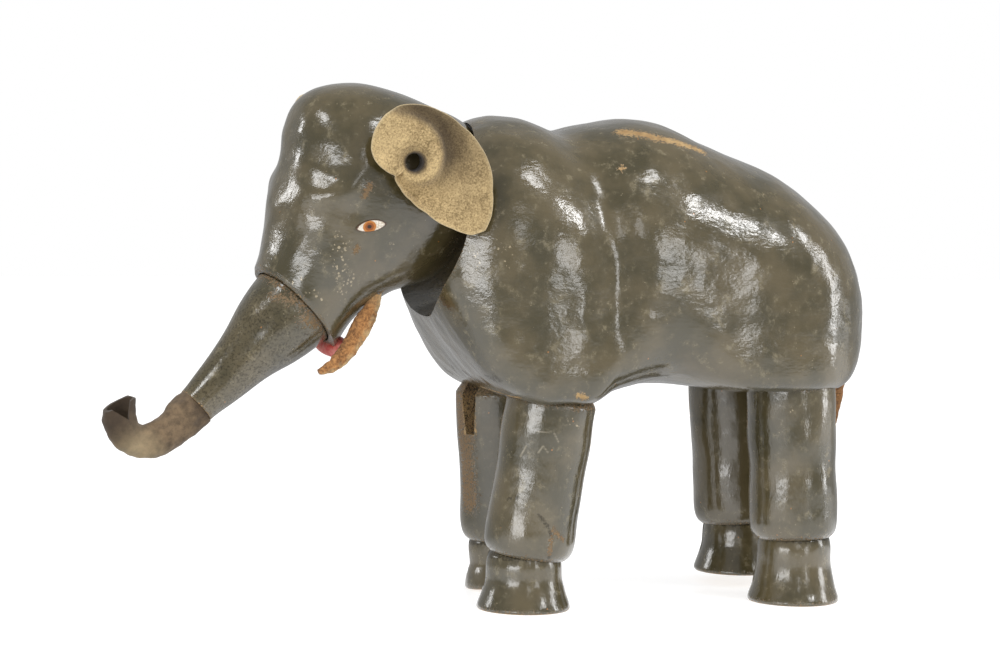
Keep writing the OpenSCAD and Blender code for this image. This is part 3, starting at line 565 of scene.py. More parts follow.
BOWL_DROP = math.radians(68)
BOWL_CENTRE = NECK - (BOWL_R - BALL_R - SEAT_GAP) * np.array([math.cos(BOWL_DROP), 0, math.sin(BOWL_DROP)])
BODY_ROWS = [
    [0.000, 0.520, 0.450, 0.16, 2.5], [0.015, 0.628, 0.405, 0.43, 3], [0.048, 0.804, 0.295, 0.69, 4],
    [0.096, 0.928, 0.171, 0.855, 6], [0.155, 0.985, 0.061, 0.955, 10], [0.222, 0.991, 0.010, 0.995, 13],
    [0.290, 0.971, 0.003, 1.000, 13], [0.345, 0.974, 0.001, 1.000, 11], [0.400, 0.977, 0.034, 1.000, 6],
    [0.470, 0.992, 0.057, 1.005, 4], [0.545, 0.975, 0.058, 1.005, 4], [0.625, 0.918, 0.047, 1.002, 7],
    [0.700, 0.869, 0.041, 1.000, 12], [0.785, 0.812, 0.041, 0.975, 13], [0.860, 0.730, 0.040, 0.90, 11],
    [0.925, 0.633, 0.052, 0.757, 7], [0.970, 0.502, 0.107, 0.548, 4], [0.994, 0.369, 0.186, 0.30, 3],
    [1.000, 0.300, 0.255, 0.10, 2.5],
]
GROOVE_BEHIND_CHEST, GROOVE_SLANT, GROOVE_DEPTH, GROOVE_SPREAD = 51, 11, 2.5, 7.6
SIDE_ANGLES = [-76, -66, -59, -53, -48, -43, -37, -28, -15, 0, 15, 29, 43, 56, 68, 79]
TOP_SQUARE = 2.3


def ankle_height(i):
    """Height of an ankle centre above the floor."""
    return ANKLE_Z + (0 if i < 2 else REAR_ANKLE_RISE)


def hip_place(i):
    """Where a hip centre is."""
    height = ankle_height(i) + LEG_LEN * math.cos(math.radians(LEG_SWING[i]))
    return np.array([REAR_HIP_X - LEG_AHEAD[i], (-1 if i % 2 == 0 else 1) * LEG_TRACK / 2, height])


def section_reach(a, half_w, half_h, square):
    """Distance to the edge of a rounded section: one over the square-th root of the sum of |cos / width| and
    |sin / height|, each to the power square."""
    return 1 / (np.abs(np.cos(a) / half_w) ** square + np.abs(np.sin(a) / half_h) ** square) ** (1 / square)


def body_grid(rings=270, points_each=300):
    """Sections along X whose reach is the rounded section less the groove, with a carver's slow ripple."""
    t = (len(BODY_ROWS) - 1) * np.linspace(0, 1, rings)
    row = along(BODY_ROWS, t)[:, None, :]
    listed = np.array([-90] + SIDE_ANGLES + [90] + [180 - a for a in SIDE_ANGLES[::-1]] + [270], float)
    a = np.radians(np.interp(np.linspace(0, len(listed) - 1, points_each, endpoint=False),
                             np.arange(len(listed)), listed))[None, :]
    x = CHEST_X + row[..., 0] * BODY_L
    half_h = (row[..., 1] - row[..., 2]) * BODY_H / 2
    mid_z = BASE_Z + (row[..., 1] + row[..., 2]) * BODY_H / 2
    half_w = row[..., 3] * BODY_W / 2
    square = np.where(np.sin(a) < 0, row[..., 4], TOP_SQUARE)
    plain = section_reach(a, half_w, half_h, square)
    z = mid_z + plain * np.sin(a)
    fallen = np.clip((BASE_Z + BODY_H - z) / (BODY_H / 2), 0, 1)
    groove_x = CHEST_X + GROOVE_BEHIND_CHEST + GROOVE_SLANT * fallen
    groove = GROOVE_DEPTH * np.exp(-((x - groove_x) / GROOVE_SPREAD) ** 2)
    reach = plain - groove * np.minimum(1, 2 + 2 * np.sin(a))
    grid = np.stack([x + 0 * a, reach * np.cos(a), mid_z + reach * np.sin(a)], -1)
    carved = 0.16 * ripple(grid, 34, 5) + 0.05 * ripple(grid, 9, 6)
    return grid - np.abs(carved)[..., None] * grid_normals(grid)


body = skin("body_block", body_grid())
cuts = [ball("bowl_cut", BOWL_CENTRE, BOWL_R)]
cuts += [ball("hip_cut", hip_place(i), HIP_DOME_R + SEAT_GAP) for i in range(4)]
TAIL_PLACE = np.array([RUMP_X - 5.2, 0, BASE_Z + 16])
cuts += [rod("tail_cut", 3.4, -20, 3.4, (np.eye(3), TAIL_PLACE))]
carve(body, cuts)
points = mesh_points(body)
from_bowl = np.linalg.norm(points - BOWL_CENTRE, axis=1)
rim = np.abs(from_bowl - BOWL_R)
outside = from_bowl > BOWL_R - 0.05
# Gashes of the chisel under the chest
GASHES = [
    ((-7.5, 21.9, 76.3), (-6.5, 18.6, 75.3), 1.8), ((-9.5, 9.2, 78.2), (-8.9, 9.2, 77.7), 1.6),
    ((-8.7, -0.3, 77.4), (-7.3, -6.9, 76), 1.9), ((-6.7, -8, 75.5), (-6.3, -11.9, 75.1), 1.7),
    ((-8.9, -27.9, 78.1), (-7.5, -31.8, 77.1), 1.9), ((-8, -33.6, 78.5), (-6.4, -34.9, 77.2), 1.7),
]
BODY_BARE = [
    ((39, -20.6, 158.3), (44.4, -22.6, 157.5), 3.8), ((44.4, -22.6, 157.5), (48.9, -24.6, 156.4), 3.6),
    ((48.9, -24.6, 156.4), (59.5, -25.4, 154.2), 3.3), ((59.5, -25.4, 154.2), (66.5, -24.2, 152.7), 3.0),
    ((34.2, -33.3, 146.4), (35, -33, 146.6), 1.5), ((18.4, -40.4, 72.7), (20.8, -40, 71.8), 1.9),
    ((-2, -1.3, 72.2), (-1.4, -19.1, 71.8), 1.4), ((-1.4, -19.1, 71.8), (0.4, -33.4, 71.2), 1.4),
]
# The first mark is a painted highlight along the near rim of the bowl; the rest are pale chips on the
# shoulder
BODY_SCUFFS_AND_RIM_HIGHLIGHT = [
    ((-17.6, -33.8, 121.5), (-14.4, -36, 113.5), 1.6), ((-9.5, -38, 121.5), (-8.5, -38.5, 119), 1.5),
    ((-6, -39.5, 119.8), (-5.6, -39.6, 118.4), 1.7), ((-7, -39.2, 115.6), (-6.6, -39.3, 115), 1.3),
]
# The bowl for the head is darker inside and along its rim: its own grime, and painted shade in the hollow
bowl_grime_and_shade = np.where(outside, 0, 0.38) + np.exp(-rim / 1.2) * 0.25
store(body, "grime_and_shade", np.maximum(bowl_grime_and_shade, wear_value(points, GASHES)))
store(body, "worn", np.exp(-rim / 0.6) * 0.35 * (points[:, 1] < 0))
store(body, "bare", wear_value(points, BODY_BARE))
store(body, "scuff_and_highlight", wear_value(points, BODY_SCUFFS_AND_RIM_HIGHLIGHT))
finish_piece(body, "torso", body_enamel, ["torso"])

# %% [markdown]
# The head is one carved block too: a ball at the back, a high crown, a brow over each eye, cheeks and a
# muzzle that is hollowed for the trunk. It is a loft along the muzzle's line, and hollows and swellings are
# added as smooth bumps along the surface's own normal.

# %% Head
MUZZLE_LEN, MUZZLE_DROP, HEAD_YAW, HEAD_ROLL = 56.5, 43, 12, 5
TRUNK_DOME_R, TRUNK_ROOT_R, TRUNK_END_R, TRUNK_LEN, TRUNK_AXIS_Q = 17.5, 15.2, 6.5, 37, 1
HEAD_ROWS = [
    [-28.3, 3, -3, 0, 3], [-26.6, 9.5, -8, 0, 9.5], [-22.5, 17.5, -14.5, 0, 17.2], [-16, 30, -20.5, 0, 23.4],
    [-8, 41, -23.6, 1, 27.2], [1, 47.6, -25, 3, 28.4], [10, 49.6, -25.6, 6, 28], [18, 46, -24.6, 9, 27],
    [25, 40, -21, 10, 25.4], [32, 35.8, -17.4, 10, 23.2], [38.5, 31.8, -15.4, 9, 21.2],
    [44, 27, -15.2, 6, 19.6], [50, 22.4, -16, 3, 18.2], [55.5, 19.4, -17.8, 1, 17.2],
]
MUZZLE_END = [MUZZLE_LEN, 18, -17.6, 0.6, 16.8]
HEAD_SQUARE = 2.1
HEAD_TURN = turn_about("X", HEAD_ROLL) @ turn_about("Z", HEAD_YAW)
DROP = math.radians(MUZZLE_DROP)
TRUNK_AHEAD = math.sqrt(TRUNK_DOME_R ** 2 - TRUNK_ROOT_R ** 2)


def head_point(s, y, q):
    """Point of the head from its place along and across the muzzle's line, which falls by its drop."""
    x = -(s * math.cos(DROP) + q * math.sin(DROP))
    z = q * math.cos(DROP) - s * math.sin(DROP)
    return np.stack([x, y, z], -1)


TRUNK_TURN = HEAD_TURN @ turn_about("Y", -90 - MUZZLE_DROP)
TRUNK_PIVOT = HEAD_TURN @ head_point(MUZZLE_LEN + TRUNK_AHEAD, 0.0, TRUNK_AXIS_Q) + NECK
TRUNK_PLACE = (TRUNK_TURN, TRUNK_PIVOT)
# Swellings and hollows of the head: centre in the head's own frame, on its left, radius and height
HEAD_BUMPS = [
    ((-45, 14.5, 1.5), 5.5, 1.2), ((-40, 19, 1.5), 5, 1.1), ((-35, 22.5, 2.5), 4.5, 1.0),
    ((-33, 23.5, -4), 3.5, -0.8), ((-29, 24, -9), 7, -0.6), ((-42, 18, 11), 6.5, -0.9),
    ((-38, 21, -22), 7, 0.5), ((-30, 22, 17), 8, 0.5),
]


def head_grid(rings=240, points_each=240):
    """Sections square to the muzzle's line, each two half ovals that meet at its widest height."""
    t = (len(HEAD_ROWS) - 1) * np.linspace(0, 1, rings)
    row = np.concatenate([along(HEAD_ROWS, t), [MUZZLE_END]])[:, None, :]
    a = np.linspace(0, 2 * np.pi, points_each, endpoint=False)[None, :]
    half_h = np.where(np.sin(a) < 0, row[..., 3] - row[..., 2], row[..., 1] - row[..., 3])
    r = section_reach(a, row[..., 4], half_h, HEAD_SQUARE)
    grid = head_point(row[..., 0] + 0 * a, -r * np.cos(a), row[..., 3] + r * np.sin(a))
    normal = grid_normals(grid)
    ball_part = np.clip((row[..., 0] + 10) / 12, 0, 1)
    height = np.zeros(grid.shape[:2])
    for centre, radius, rise in HEAD_BUMPS:
        mirrored = np.stack([grid[..., 0], np.abs(grid[..., 1]), grid[..., 2]], -1)
        height += rise * np.exp(-(((mirrored - centre) / radius) ** 2).sum(-1))
    height += ball_part * (0.14 * ripple(grid, 17, 11) + 0.05 * ripple(grid, 7, 12) - 0.15)
    return (grid + height[..., None] * normal) @ HEAD_TURN.T + NECK


head = skin("head_block", head_grid())
carve(head, [ball("muzzle_cut", TRUNK_PIVOT, TRUNK_DOME_R + SEAT_GAP)])
points = mesh_points(head)
local = (points - NECK) @ HEAD_TURN
rim_s = local @ np.array([-math.cos(DROP), 0, -math.sin(DROP)])
hollow = np.linalg.norm(points - TRUNK_PIVOT, axis=1) < TRUNK_DOME_R + SEAT_GAP + 0.1
HEAD_WORN = [
    ((-30.1, -24.9, 1.3), (-28.5, -25.2, 4.5), 2.0), ((-30.8, -22.7, -15.9), (-31.2, -22.6, -16.6), 1.9),
    ((-17.5, -13.5, -32), (-18.2, -13, -33.4), 2.2),
]
HEAD_SCUFFS = [
    ((-36.6, -21.4, -13.4), (-35.5, -20.4, -22), 3.4), ((-35.5, -20.4, -22), (-34, -18.9, -29.9), 3.2),
    ((-20.3, -24.8, -14.9), (-19, -24.8, -15.4), 1.5), ((2.7, -24, -13.1), (3.6, -24, -13.8), 1.7),
    ((-49.8, -11.8, -29.5), (-48.6, -13, -28), 1.3), ((-46.3, -15.3, -25.5), (-46.6, -15.3, -26.6), 1.3),
    ((-45.4, -16.3, -29.9), (-45, -16.5, -30.4), 1.5), ((-42.8, -17.3, -30.8), (-42, -17.5, -31.4), 1.4),
    ((-40.2, -17.8, -33), (-39.6, -17.9, -33.6), 1.6), ((-34.9, -18.2, -33.2), (-30.1, -20.1, -25), 2.6),
    ((0, -23.5, -22), (1.5, -23, -24), 1.8), ((-8, -22, -27), (-7, -22, -27.4), 1.2),
]
# The muzzle's hollow round the trunk's root and the back of the ball, inside the body's bowl, are darkened as
# painted shade between the parts
store(head, "grime_and_shade", np.where(hollow, 0.7, 0) + np.where(local @ np.array([1, 0, 0]) > 8, 0.3, 0))
store(head, "worn", np.maximum(np.clip((rim_s - 54.5) / 7, 0, 0.5), wear_value(local, HEAD_WORN)))
store(head, "bare", np.clip((rim_s - 55.8) / 4, 0, 0.3) * (~hollow))
store(head, "scuff_and_highlight", wear_value(local, HEAD_SCUFFS))
finish_piece(head, "head", body_enamel, ["head"])

# %% [markdown]
# A rolled lower lip hangs behind the root of the trunk, painted red. It could be carved with the head, but as
# a piece of its own it keeps a sharp edge to its paint. Its rings stand across the head.

# %% Lower lip
LIP_R, LIP_HALF_W = 3.8, 9.5
LIP_MIDDLE = head_point(MUZZLE_LEN - 1.7, 0.0, -18.5)


def red_paint():
    """Red oil paint, worn to pink in patches of 2 mm."""
    material, tree, output, place = new_material("red_oil_paint")
    noise = add(tree, "TexNoise", {"Vector": place, "Scale": 0.5, "Detail": 4.0}).outputs["Fac"]
    share = add(tree, "MapRange", {"Value": noise, "From Min": 0.35, "From Max": 0.7}, **SMOOTH).outputs[0]
    red, pink = hex_colour("c9473f"), hex_colour("d9857a")
    tone = add(tree, "Mix", {0: share, 6: red, 7: pink}, **COLOURS).outputs[2]
    shader = add(tree, "BsdfPrincipled", {"Base Color": tone, "Roughness": 0.4, "IOR": 1.5})
    tree.links.new(shader.outputs[0], output.inputs["Surface"])
    return material


def lip_grid(rings=40, points_each=48):
    """Rings across the head whose radius falls to both sides as a power of the cosine."""
    a = np.radians(np.linspace(-84, 84, rings))[:, None]
    b = np.linspace(0, 2 * np.pi, points_each, endpoint=False)[None, :]
    r = LIP_R * np.cos(a) ** 0.6
    return LIP_MIDDLE + np.stack([r * np.cos(b), -LIP_HALF_W * np.sin(a) + 0 * b, r * np.sin(b)], -1)


lip = skin("lower_lip", lip_grid() @ HEAD_TURN.T + NECK)
finish_piece(lip, "head", red_paint(), [])

# %% [markdown]
# The eye is painted: a white almond with an amber iris, a dark pupil and a brown line round it. It is a thin
# patch pressed onto the cheek, so that its edge stays sharp, and its colours follow its own map.

# %% Eyes
EYE_HALF, EYE_TILT = 4.9, 12
EYE_MIDDLE = (-27.3, 24.4, -8.7)
EYE_RINGS, EYE_POINTS = 14, 64
# The iris, its darker middle and the pupil: each colour lies inside an edge that starts and ends there
EYE_COLOURS = [("b5702a", 1.0, 1.12), ("8a4a18", 0.62, 0.8), ("2a170c", 0.3, 0.38)]


def eye_paint():
    """Enamel in rings: pupil, iris, white and outline, by the distance from the middle of the iris."""
    material, tree, output, place = new_material("artist_enamel_eye")
    uv = add(tree, "UVMap", uv_map="map").outputs[0]
    edge = add(tree, "SeparateXYZ", {0: uv}).outputs["X"]
    noise = add(tree, "TexNoise", {"Vector": place, "Scale": 2.2, "Detail": 3.0}).outputs["Fac"]
    wobble = add(tree, "Math", {0: noise, 1: 0.12, 2: -0.06}, operation="MULTIPLY_ADD").outputs[0]
    from_iris = add(tree, "Attribute", attribute_name="from_iris").outputs["Fac"]
    round_eye = add(tree, "Math", {0: from_iris, 1: wobble}, operation="ADD").outputs[0]
    share = add(tree, "MapRange", {"Value": noise, "From Min": 0.35, "From Max": 0.7}, **SMOOTH).outputs[0]
    white, aged = hex_colour("e9e2d6"), hex_colour("b9a78c")
    tone = add(tree, "Mix", {0: share, 6: white, 7: aged}, **COLOURS).outputs[2]
    for inside, start, end in EYE_COLOURS:
        outward = {"Value": round_eye, "From Min": start, "From Max": end}
        share = add(tree, "MapRange", outward, **SMOOTH).outputs[0]
        tone = add(tree, "Mix", {0: share, 6: hex_colour(inside), 7: tone}, **COLOURS).outputs[2]
    share = add(tree, "MapRange", {"Value": edge, "From Min": 0.86, "From Max": 0.94}, **SMOOTH).outputs[0]
    tone = add(tree, "Mix", {0: share, 6: tone, 7: hex_colour("4d3322")}, **COLOURS).outputs[2]
    shader = add(tree, "BsdfPrincipled", {"Base Color": tone, "Roughness": 0.3, "IOR": 1.5})
    tree.links.new(shader.outputs[0], output.inputs["Surface"])
    return material


def add_eye(side, material):
    """Almond patch whose lids are halves of a sine to a power, pressed onto the nearest of the head."""
    share = np.linspace(0, 1, EYE_RINGS + 1)[1:, None]
    a = np.linspace(0, 2 * np.pi, EYE_POINTS, endpoint=False)[None, :]
    flat_x = np.cos(a)
    flat_z = np.sign(np.sin(a)) * np.abs(np.sin(a)) ** 1.35
    x = share * flat_x * EYE_HALF
    z = share * flat_z * np.where(flat_z > 0, 2.1, 1.7)
    tilt = math.radians(EYE_TILT)
    px = EYE_MIDDLE[0] + x * math.cos(tilt) - z * math.sin(tilt)
    pz = EYE_MIDDLE[2] + x * math.sin(tilt) + z * math.cos(tilt)
    # The cheek slopes to the front and to the top
    py = side * (EYE_MIDDLE[1] + 0.2 * (px + 27.4) + 0.13 * (pz + 8.8))
    grid = np.stack([px, py, pz], -1).reshape(-1, 3)
    middle = np.array([EYE_MIDDLE]) * [1, side, 1]
    points = np.concatenate([grid, middle]) @ HEAD_TURN.T + NECK
    n = EYE_POINTS
    j, k = np.meshgrid(np.arange(EYE_RINGS - 1), np.arange(n), indexing="ij")
    first = j * n + k
    second = j * n + (k + 1) % n
    faces = np.stack([first, second, second + n, first + n], -1).reshape(-1, 4).tolist()
    k = np.arange(n)
    faces += np.stack([np.full(n, len(points) - 1), (k + 1) % n, k], -1).tolist()
    if side > 0:
        faces = [f[::-1] for f in faces]
    name = "eye_paint_left" if side < 0 else "eye_paint_right"
    mesh = bpy.data.meshes.new(name)
    mesh.from_pydata((points * MM).tolist(), [], faces)
    eye = bpy.data.objects.new(name, mesh)
    bpy.context.scene.collection.objects.link(eye)
    iris = np.hypot(x + 0.5, z * 1.1) / 2.0
    store(eye, "from_iris", np.append(iris.reshape(-1), 0.25))
    edge = np.append((share + 0 * a).reshape(-1), 0)
    layer = mesh.uv_layers.new(name="map")
    corner = np.empty(len(mesh.loops), np.int32)
    mesh.loops.foreach_get("vertex_index", corner)
    flat = np.stack([edge[corner], np.full(len(corner), 0.5)], -1)
    layer.data.foreach_set("uv", flat.astype(np.float32).ravel())
    wrap = eye.modifiers.new("press", "SHRINKWRAP")
    wrap.target = head
    wrap.wrap_method = "NEAREST_SURFACEPOINT"
    wrap.wrap_mode = "OUTSIDE"
    wrap.offset = 0.08 * MM
    solid = eye.modifiers.new("coat", "SOLIDIFY")
    solid.thickness = 0.25 * MM
    solid.offset = -1
    apply_modifiers(eye)
    finish_piece(eye, "head", material, [], 0)


paint = eye_paint()
for side in (-1, 1):
    add_eye(side, paint)

# %% [markdown]
# The trunk is turned from wood with a domed root that sits in the muzzle. A turned piece is one profile round
# an axis, so the profile is all that has to be drawn: a curve for its side, then the dome.

# %% Trunk


def turned_profile(side, dome_r, edge_r, sign=1, steps=12):
    """Radii and heights: the curve through the side's rows, then a round dome that ends on the axis."""
    t = np.linspace(0, len(side) - 1, steps * (len(side) - 1) + 1)
    curve = along(side, t)
    a = np.linspace(math.asin(edge_r / dome_r), 0, 26)[1:-1]
    radii = np.concatenate([curve[:, 0], dome_r * np.sin(a)])
    heights = np.concatenate([curve[:, 1], sign * dome_r * np.cos(a)])
    return radii, heights


TRUNK_SIDE = [
    [TRUNK_END_R, TRUNK_LEN], [TRUNK_END_R + 0.5, TRUNK_LEN - 5], [TRUNK_END_R + 3.1, TRUNK_LEN - 21],
    [TRUNK_ROOT_R - 2.2, 4], [TRUNK_ROOT_R - 0.5, -4], [TRUNK_ROOT_R, -TRUNK_AHEAD],
]
radii, heights = turned_profile(TRUNK_SIDE, TRUNK_DOME_R, TRUNK_ROOT_R, -1)
trunk = skin("trunk_upper", revolve(radii, heights, TRUNK_PLACE, 120, 0.12, 21))
points = mesh_points(trunk)
local = (points - TRUNK_PIVOT) @ TRUNK_TURN
# The dome's end inside the muzzle's hollow is darkened as painted shade; the trunk beyond its root is
# darkened a little all over
store(trunk, "grime_and_shade", np.clip((-TRUNK_AHEAD + 1 - local[:, 2]) / 1.5, 0, 0.6) + 0.36 * (local[:, 2] > -4))
TRUNK_WORN = [((-67.4, -20.3, 96.6), (-63.4, -18.8, 94.2), 5.0), ((-78.8, -16.8, 104), (-72, -20, 102), 3.2)]
rubbed = np.clip((2.5 - np.abs(local[:, 2] + TRUNK_AHEAD - 1)) / 5, 0, 0.5)
end_worn = np.clip((local[:, 2] - TRUNK_LEN + 1.5) / 3, 0, 0.6)
store(trunk, "worn", np.maximum(np.maximum(rubbed, end_worn), wear_value(points, TRUNK_WORN) * 0.62))
store(trunk, "bare", np.clip((local[:, 2] - TRUNK_LEN + 0.8) / 3, 0, 0.4))
TRUNK_SCUFFS = [((-70, -16.7, 86), (-69.2, -17, 86.6), 1.1), ((-71.6, -16.3, 84.7), (-71, -16.5, 85.1), 1.1)]
store(trunk, "scuff_and_highlight", wear_value(points, TRUNK_SCUFFS))
finish_piece(trunk, "trunk", leg_enamel, ["trunk"])

# %% [markdown]
# The ears, tusks, trunk tip and tail are leather. The ears are suede of an olive tan, the strips are orange
# brown and frayed, and the tip is grimed. One function makes all three, because they differ only in their two
# tones, the size of their nap and how frayed they are. This leather is dull, so it is rough and has no coat.

# %% Leather


def leather(name, light, dark, grain, contrast, fray=0.0):
    """Vegetable-tanned leather: two tones broken up by a nap of about grain mm, with stains of 8 mm."""
    material, tree, output, place = new_material(name)
    nap_noise = {"Vector": place, "Scale": 1 / grain, "Detail": 4.0, "Roughness": 0.7}
    nap = add(tree, "TexNoise", nap_noise).outputs["Fac"]
    stain_noise = {"Vector": place, "Scale": 0.12, "Detail": 4.0, "Roughness": 0.6}
    stain = add(tree, "TexNoise", stain_noise).outputs["Fac"]
    stained = add(tree, "Math", {0: stain, 1: 0.35}, operation="MULTIPLY").outputs[0]
    both = add(tree, "Math", {0: nap, 1: 0.65, 2: stained}, operation="MULTIPLY_ADD").outputs[0]
    tones = {"Value": both, "From Min": 0.5 - contrast, "From Max": 0.5 + contrast}
    share = add(tree, "MapRange", tones, **SMOOTH).outputs[0]
    tone = add(tree, "Mix", {0: share, 6: hex_colour(dark), 7: hex_colour(light)}, **COLOURS).outputs[2]
    worn = add(tree, "Attribute", attribute_name="worn").outputs["Fac"]
    fibres = hex_colour("e2c795" if fray else "d9c69c")
    tone = add(tree, "Mix", {0: worn, 6: tone, 7: fibres}, **COLOURS).outputs[2]
    # Darker with grime, and with painted shade in the ear's hole and trough
    grime_and_shade = add(tree, "Attribute", attribute_name="grime_and_shade").outputs["Fac"]
    tone = add(tree, "Mix", {0: grime_and_shade, 6: tone, 7: hex_colour("32261a")}, **COLOURS).outputs[2]
    bump = add(tree, "Bump", {"Height": nap, "Strength": 0.6, "Distance": 0.0003 + fray * 0.0004}).outputs[0]
    shader = add(tree, "BsdfPrincipled", {"Base Color": tone, "Roughness": 0.82, "Normal": bump, "IOR": 1.45,
                                          "Sheen Weight": 0.15, "Sheen Roughness": 0.5})
    tree.links.new(shader.outputs[0], output.inputs["Surface"])
    return material


ear_suede = leather("suede_ear_leather", "cab080", "6f5b38", 0.6, 0.17)
strip_leather = leather("frayed_strip_leather", "cc9256", "5e391c", 0.9, 0.18, 1.0)
tip_leather = leather("grimed_tip_leather", "7f6a50", "453829", 2.5, 0.22)
print("leathers:", ear_suede.name, strip_leather.name, tip_leather.name)

# %% [markdown]
# The tip is a roll of leather, tacked on, that curls up and opens like a cup. Its outer skin is cut by an
# inner one that stands a wall's thickness inside it, then by a straight line between its two lobes and by a
# notch in its near side, so that its wall shows as a real thickness.

# %% Trunk tip
TIP_ROWS = [
    [0, 0, 6.9], [0.2, 6.5, 6.6], [0.4, 12.5, 6.1], [2.2, 17.6, 5.8], [5.9, 21.5, 5.4], [11.4, 22.8, 5.4],
    [16.4, 20.8, 5.7], [20.6, 15.6, 4.6],
]
TIP_FLAT, TIP_WALL, TIP_HOLLOW_ROW = 0.82, 1.2, 4.5
TIP_LOBES = np.array([[18, 13], [20.9, 22.2]])
TIP_NOTCH = [[15.1, 20], [25.6, 22.7], [24.3, 7.9]]


def tip_grid(t, wall=0.0, ahead=0.0, points_each=84):
    """Oval rings square to the tip's middle line, drawn in by a wall, and set ahead along the line."""
    last = len(TIP_ROWS) - 1
    row = along(TIP_ROWS, t)
    step = along(TIP_ROWS, np.minimum(t + 0.05, last)) - along(TIP_ROWS, np.maximum(t - 0.05, 0))
    run = np.hypot(step[:, 0], step[:, 1])
    dx, dz = (step[:, 0] / run)[:, None], (step[:, 1] / run)[:, None]
    a = np.linspace(0, 2 * np.pi, points_each, endpoint=False)[None, :]
    r = row[:, 2:3]
    wall, ahead = np.reshape(wall, (-1, 1)), np.reshape(ahead, (-1, 1))
    across = (r - wall) * np.cos(a)
    x = row[:, :1] + ahead * dx + across * dz
    z = TRUNK_LEN + row[:, 1:2] + ahead * dz - across * dx
    return np.stack([x, (r * TIP_FLAT - wall) * np.sin(a), z], -1)


def tip_cutters():
    """The hollow, the mouth between the lobes and the notch, each in the trunk's place."""
    last = len(TIP_ROWS) - 1
    t = np.linspace(TIP_HOLLOW_ROW, last, 40)
    closing = np.clip(1 - (t - TIP_HOLLOW_ROW) / 0.5, 0, 1)
    hollow = tip_grid(t, TIP_WALL + 2 * closing ** 2)
    mouth_end = tip_grid(np.array([float(last)]), TIP_WALL, 2.0)
    hollow = np.concatenate([hollow, mouth_end])
    line = (TIP_LOBES[1] - TIP_LOBES[0]) / np.linalg.norm(TIP_LOBES[1] - TIP_LOBES[0])
    reach = 16
    out = reach * np.array([line[1], -line[0]])
    low, high = TIP_LOBES[0] - reach * line, TIP_LOBES[1] + reach * line
    place = (TRUNK_TURN, TRUNK_PIVOT + TRUNK_TURN @ np.array([0, 0, TRUNK_LEN]))
    return [
        skin("tip_hollow", hollow @ TRUNK_TURN.T + TRUNK_PIVOT),
        prism("tip_mouth", [low, high, high + out, low + out], -11, 11, place),
        prism("tip_notch", TIP_NOTCH, -11, 0, place),
    ]


grid = tip_grid(np.linspace(0, len(TIP_ROWS) - 1, 130))
grid = grid + (0.16 * ripple(grid, 8, 31) + 0.08 * ripple(grid, 3, 32) - 0.1)[..., None] * grid_normals(grid)
grid[..., 2] = np.where(grid[..., 0] < 8, np.maximum(grid[..., 2], TRUNK_LEN), grid[..., 2])
tip = skin("trunk_tip_leather", grid @ TRUNK_TURN.T + TRUNK_PIVOT)
carve(tip, tip_cutters())
points = mesh_points(tip)
local = (points - TRUNK_PIVOT) @ TRUNK_TURN
beyond = local[:, 2] - TRUNK_LEN
lobes = np.clip((local[:, 0] - 7) / 10, 0, 1)
joint = np.clip(1 - beyond / 9, 0, 1)
store(tip, "worn", np.clip((beyond - 15) / 9, 0, 1) * (1 - lobes) * 0.28)
store(tip, "grime_and_shade", 0.85 * lobes ** 0.8 + 0.35 * joint)
finish_piece(tip, "trunk", tip_leather, ["trunk_tip"])

# %% [markdown]
# Each ear is one piece of leather, rolled to a funnel at its root and set in a hole in the head. It could be
# bent by a cloth simulation, but this leather is stiff and the photograph shows its shape. So its height
# above its own plane is a formula on a polar grid: a lip round the root, a trough behind it, and a back edge
# that lifts.

# %% Ears
EAR_T, EAR_ROOT_R = 1.3, 4.2
EAR_ROWS = [
    [3, 13], [15, 14.7], [35, 16.5], [56, 18.1], [73, 18.7], [88, 18.4], [114, 18], [139, 18.5], [163, 21.1],
    [180, 23.6], [198, 26.2], [213, 29.7], [222, 31.2], [230, 29.3], [239, 23.8], [256, 16], [275, 11.9],
    [299, 9.2], [328, 7.6], [345, 9.9],
]
EAR_ROOT = [-17.4, 34.2, 12.5]
EAR_SPLAY = 18.4
EAR_SHEET_RINGS, EAR_BORE = 60, (-11, -7, -4, -2, -1)
# Reach of the crest round the root at each direction: it comes in from the outline over the top, round the
# back, to the notch, where the front lobe laps over the lower part
EAR_CREST = np.array([
    [0, 30], [48, 24], [70, 17.5], [95, 14.5], [120, 12.2], [150, 10.2], [180, 8.9], [215, 8.2], [250, 7.6],
    [285, 6.6], [322, 5.4], [331, 30], [363, 30],
])


def ear_height(r, share, a):
    """Plateau inside the crest with a funnel to the root, a trough as a bell curve outside the crest, and a
    rise at the back that grows as the square of the way to the edge."""
    back = 0.5 - 0.5 * np.cos(a)
    crest = np.interp(np.degrees(a), EAR_CREST[:, 0], EAR_CREST[:, 1])
    inside = np.clip((crest + 1.3 - r) / 3.0, 0, 1)
    plateau = (1.3 + 0.9 * back) * inside ** 2 * (3 - 2 * inside)
    funnel = 1.5 * np.exp(-((r - EAR_ROOT_R + 0.4) / 1.4) ** 2)
    trough = 2.5 * np.exp(-((r - crest - 4.2) / 3.4) ** 2) * np.clip((1 - share) * 4, 0, 1)
    return plateau - funnel - trough + 2.5 * back * share ** 2


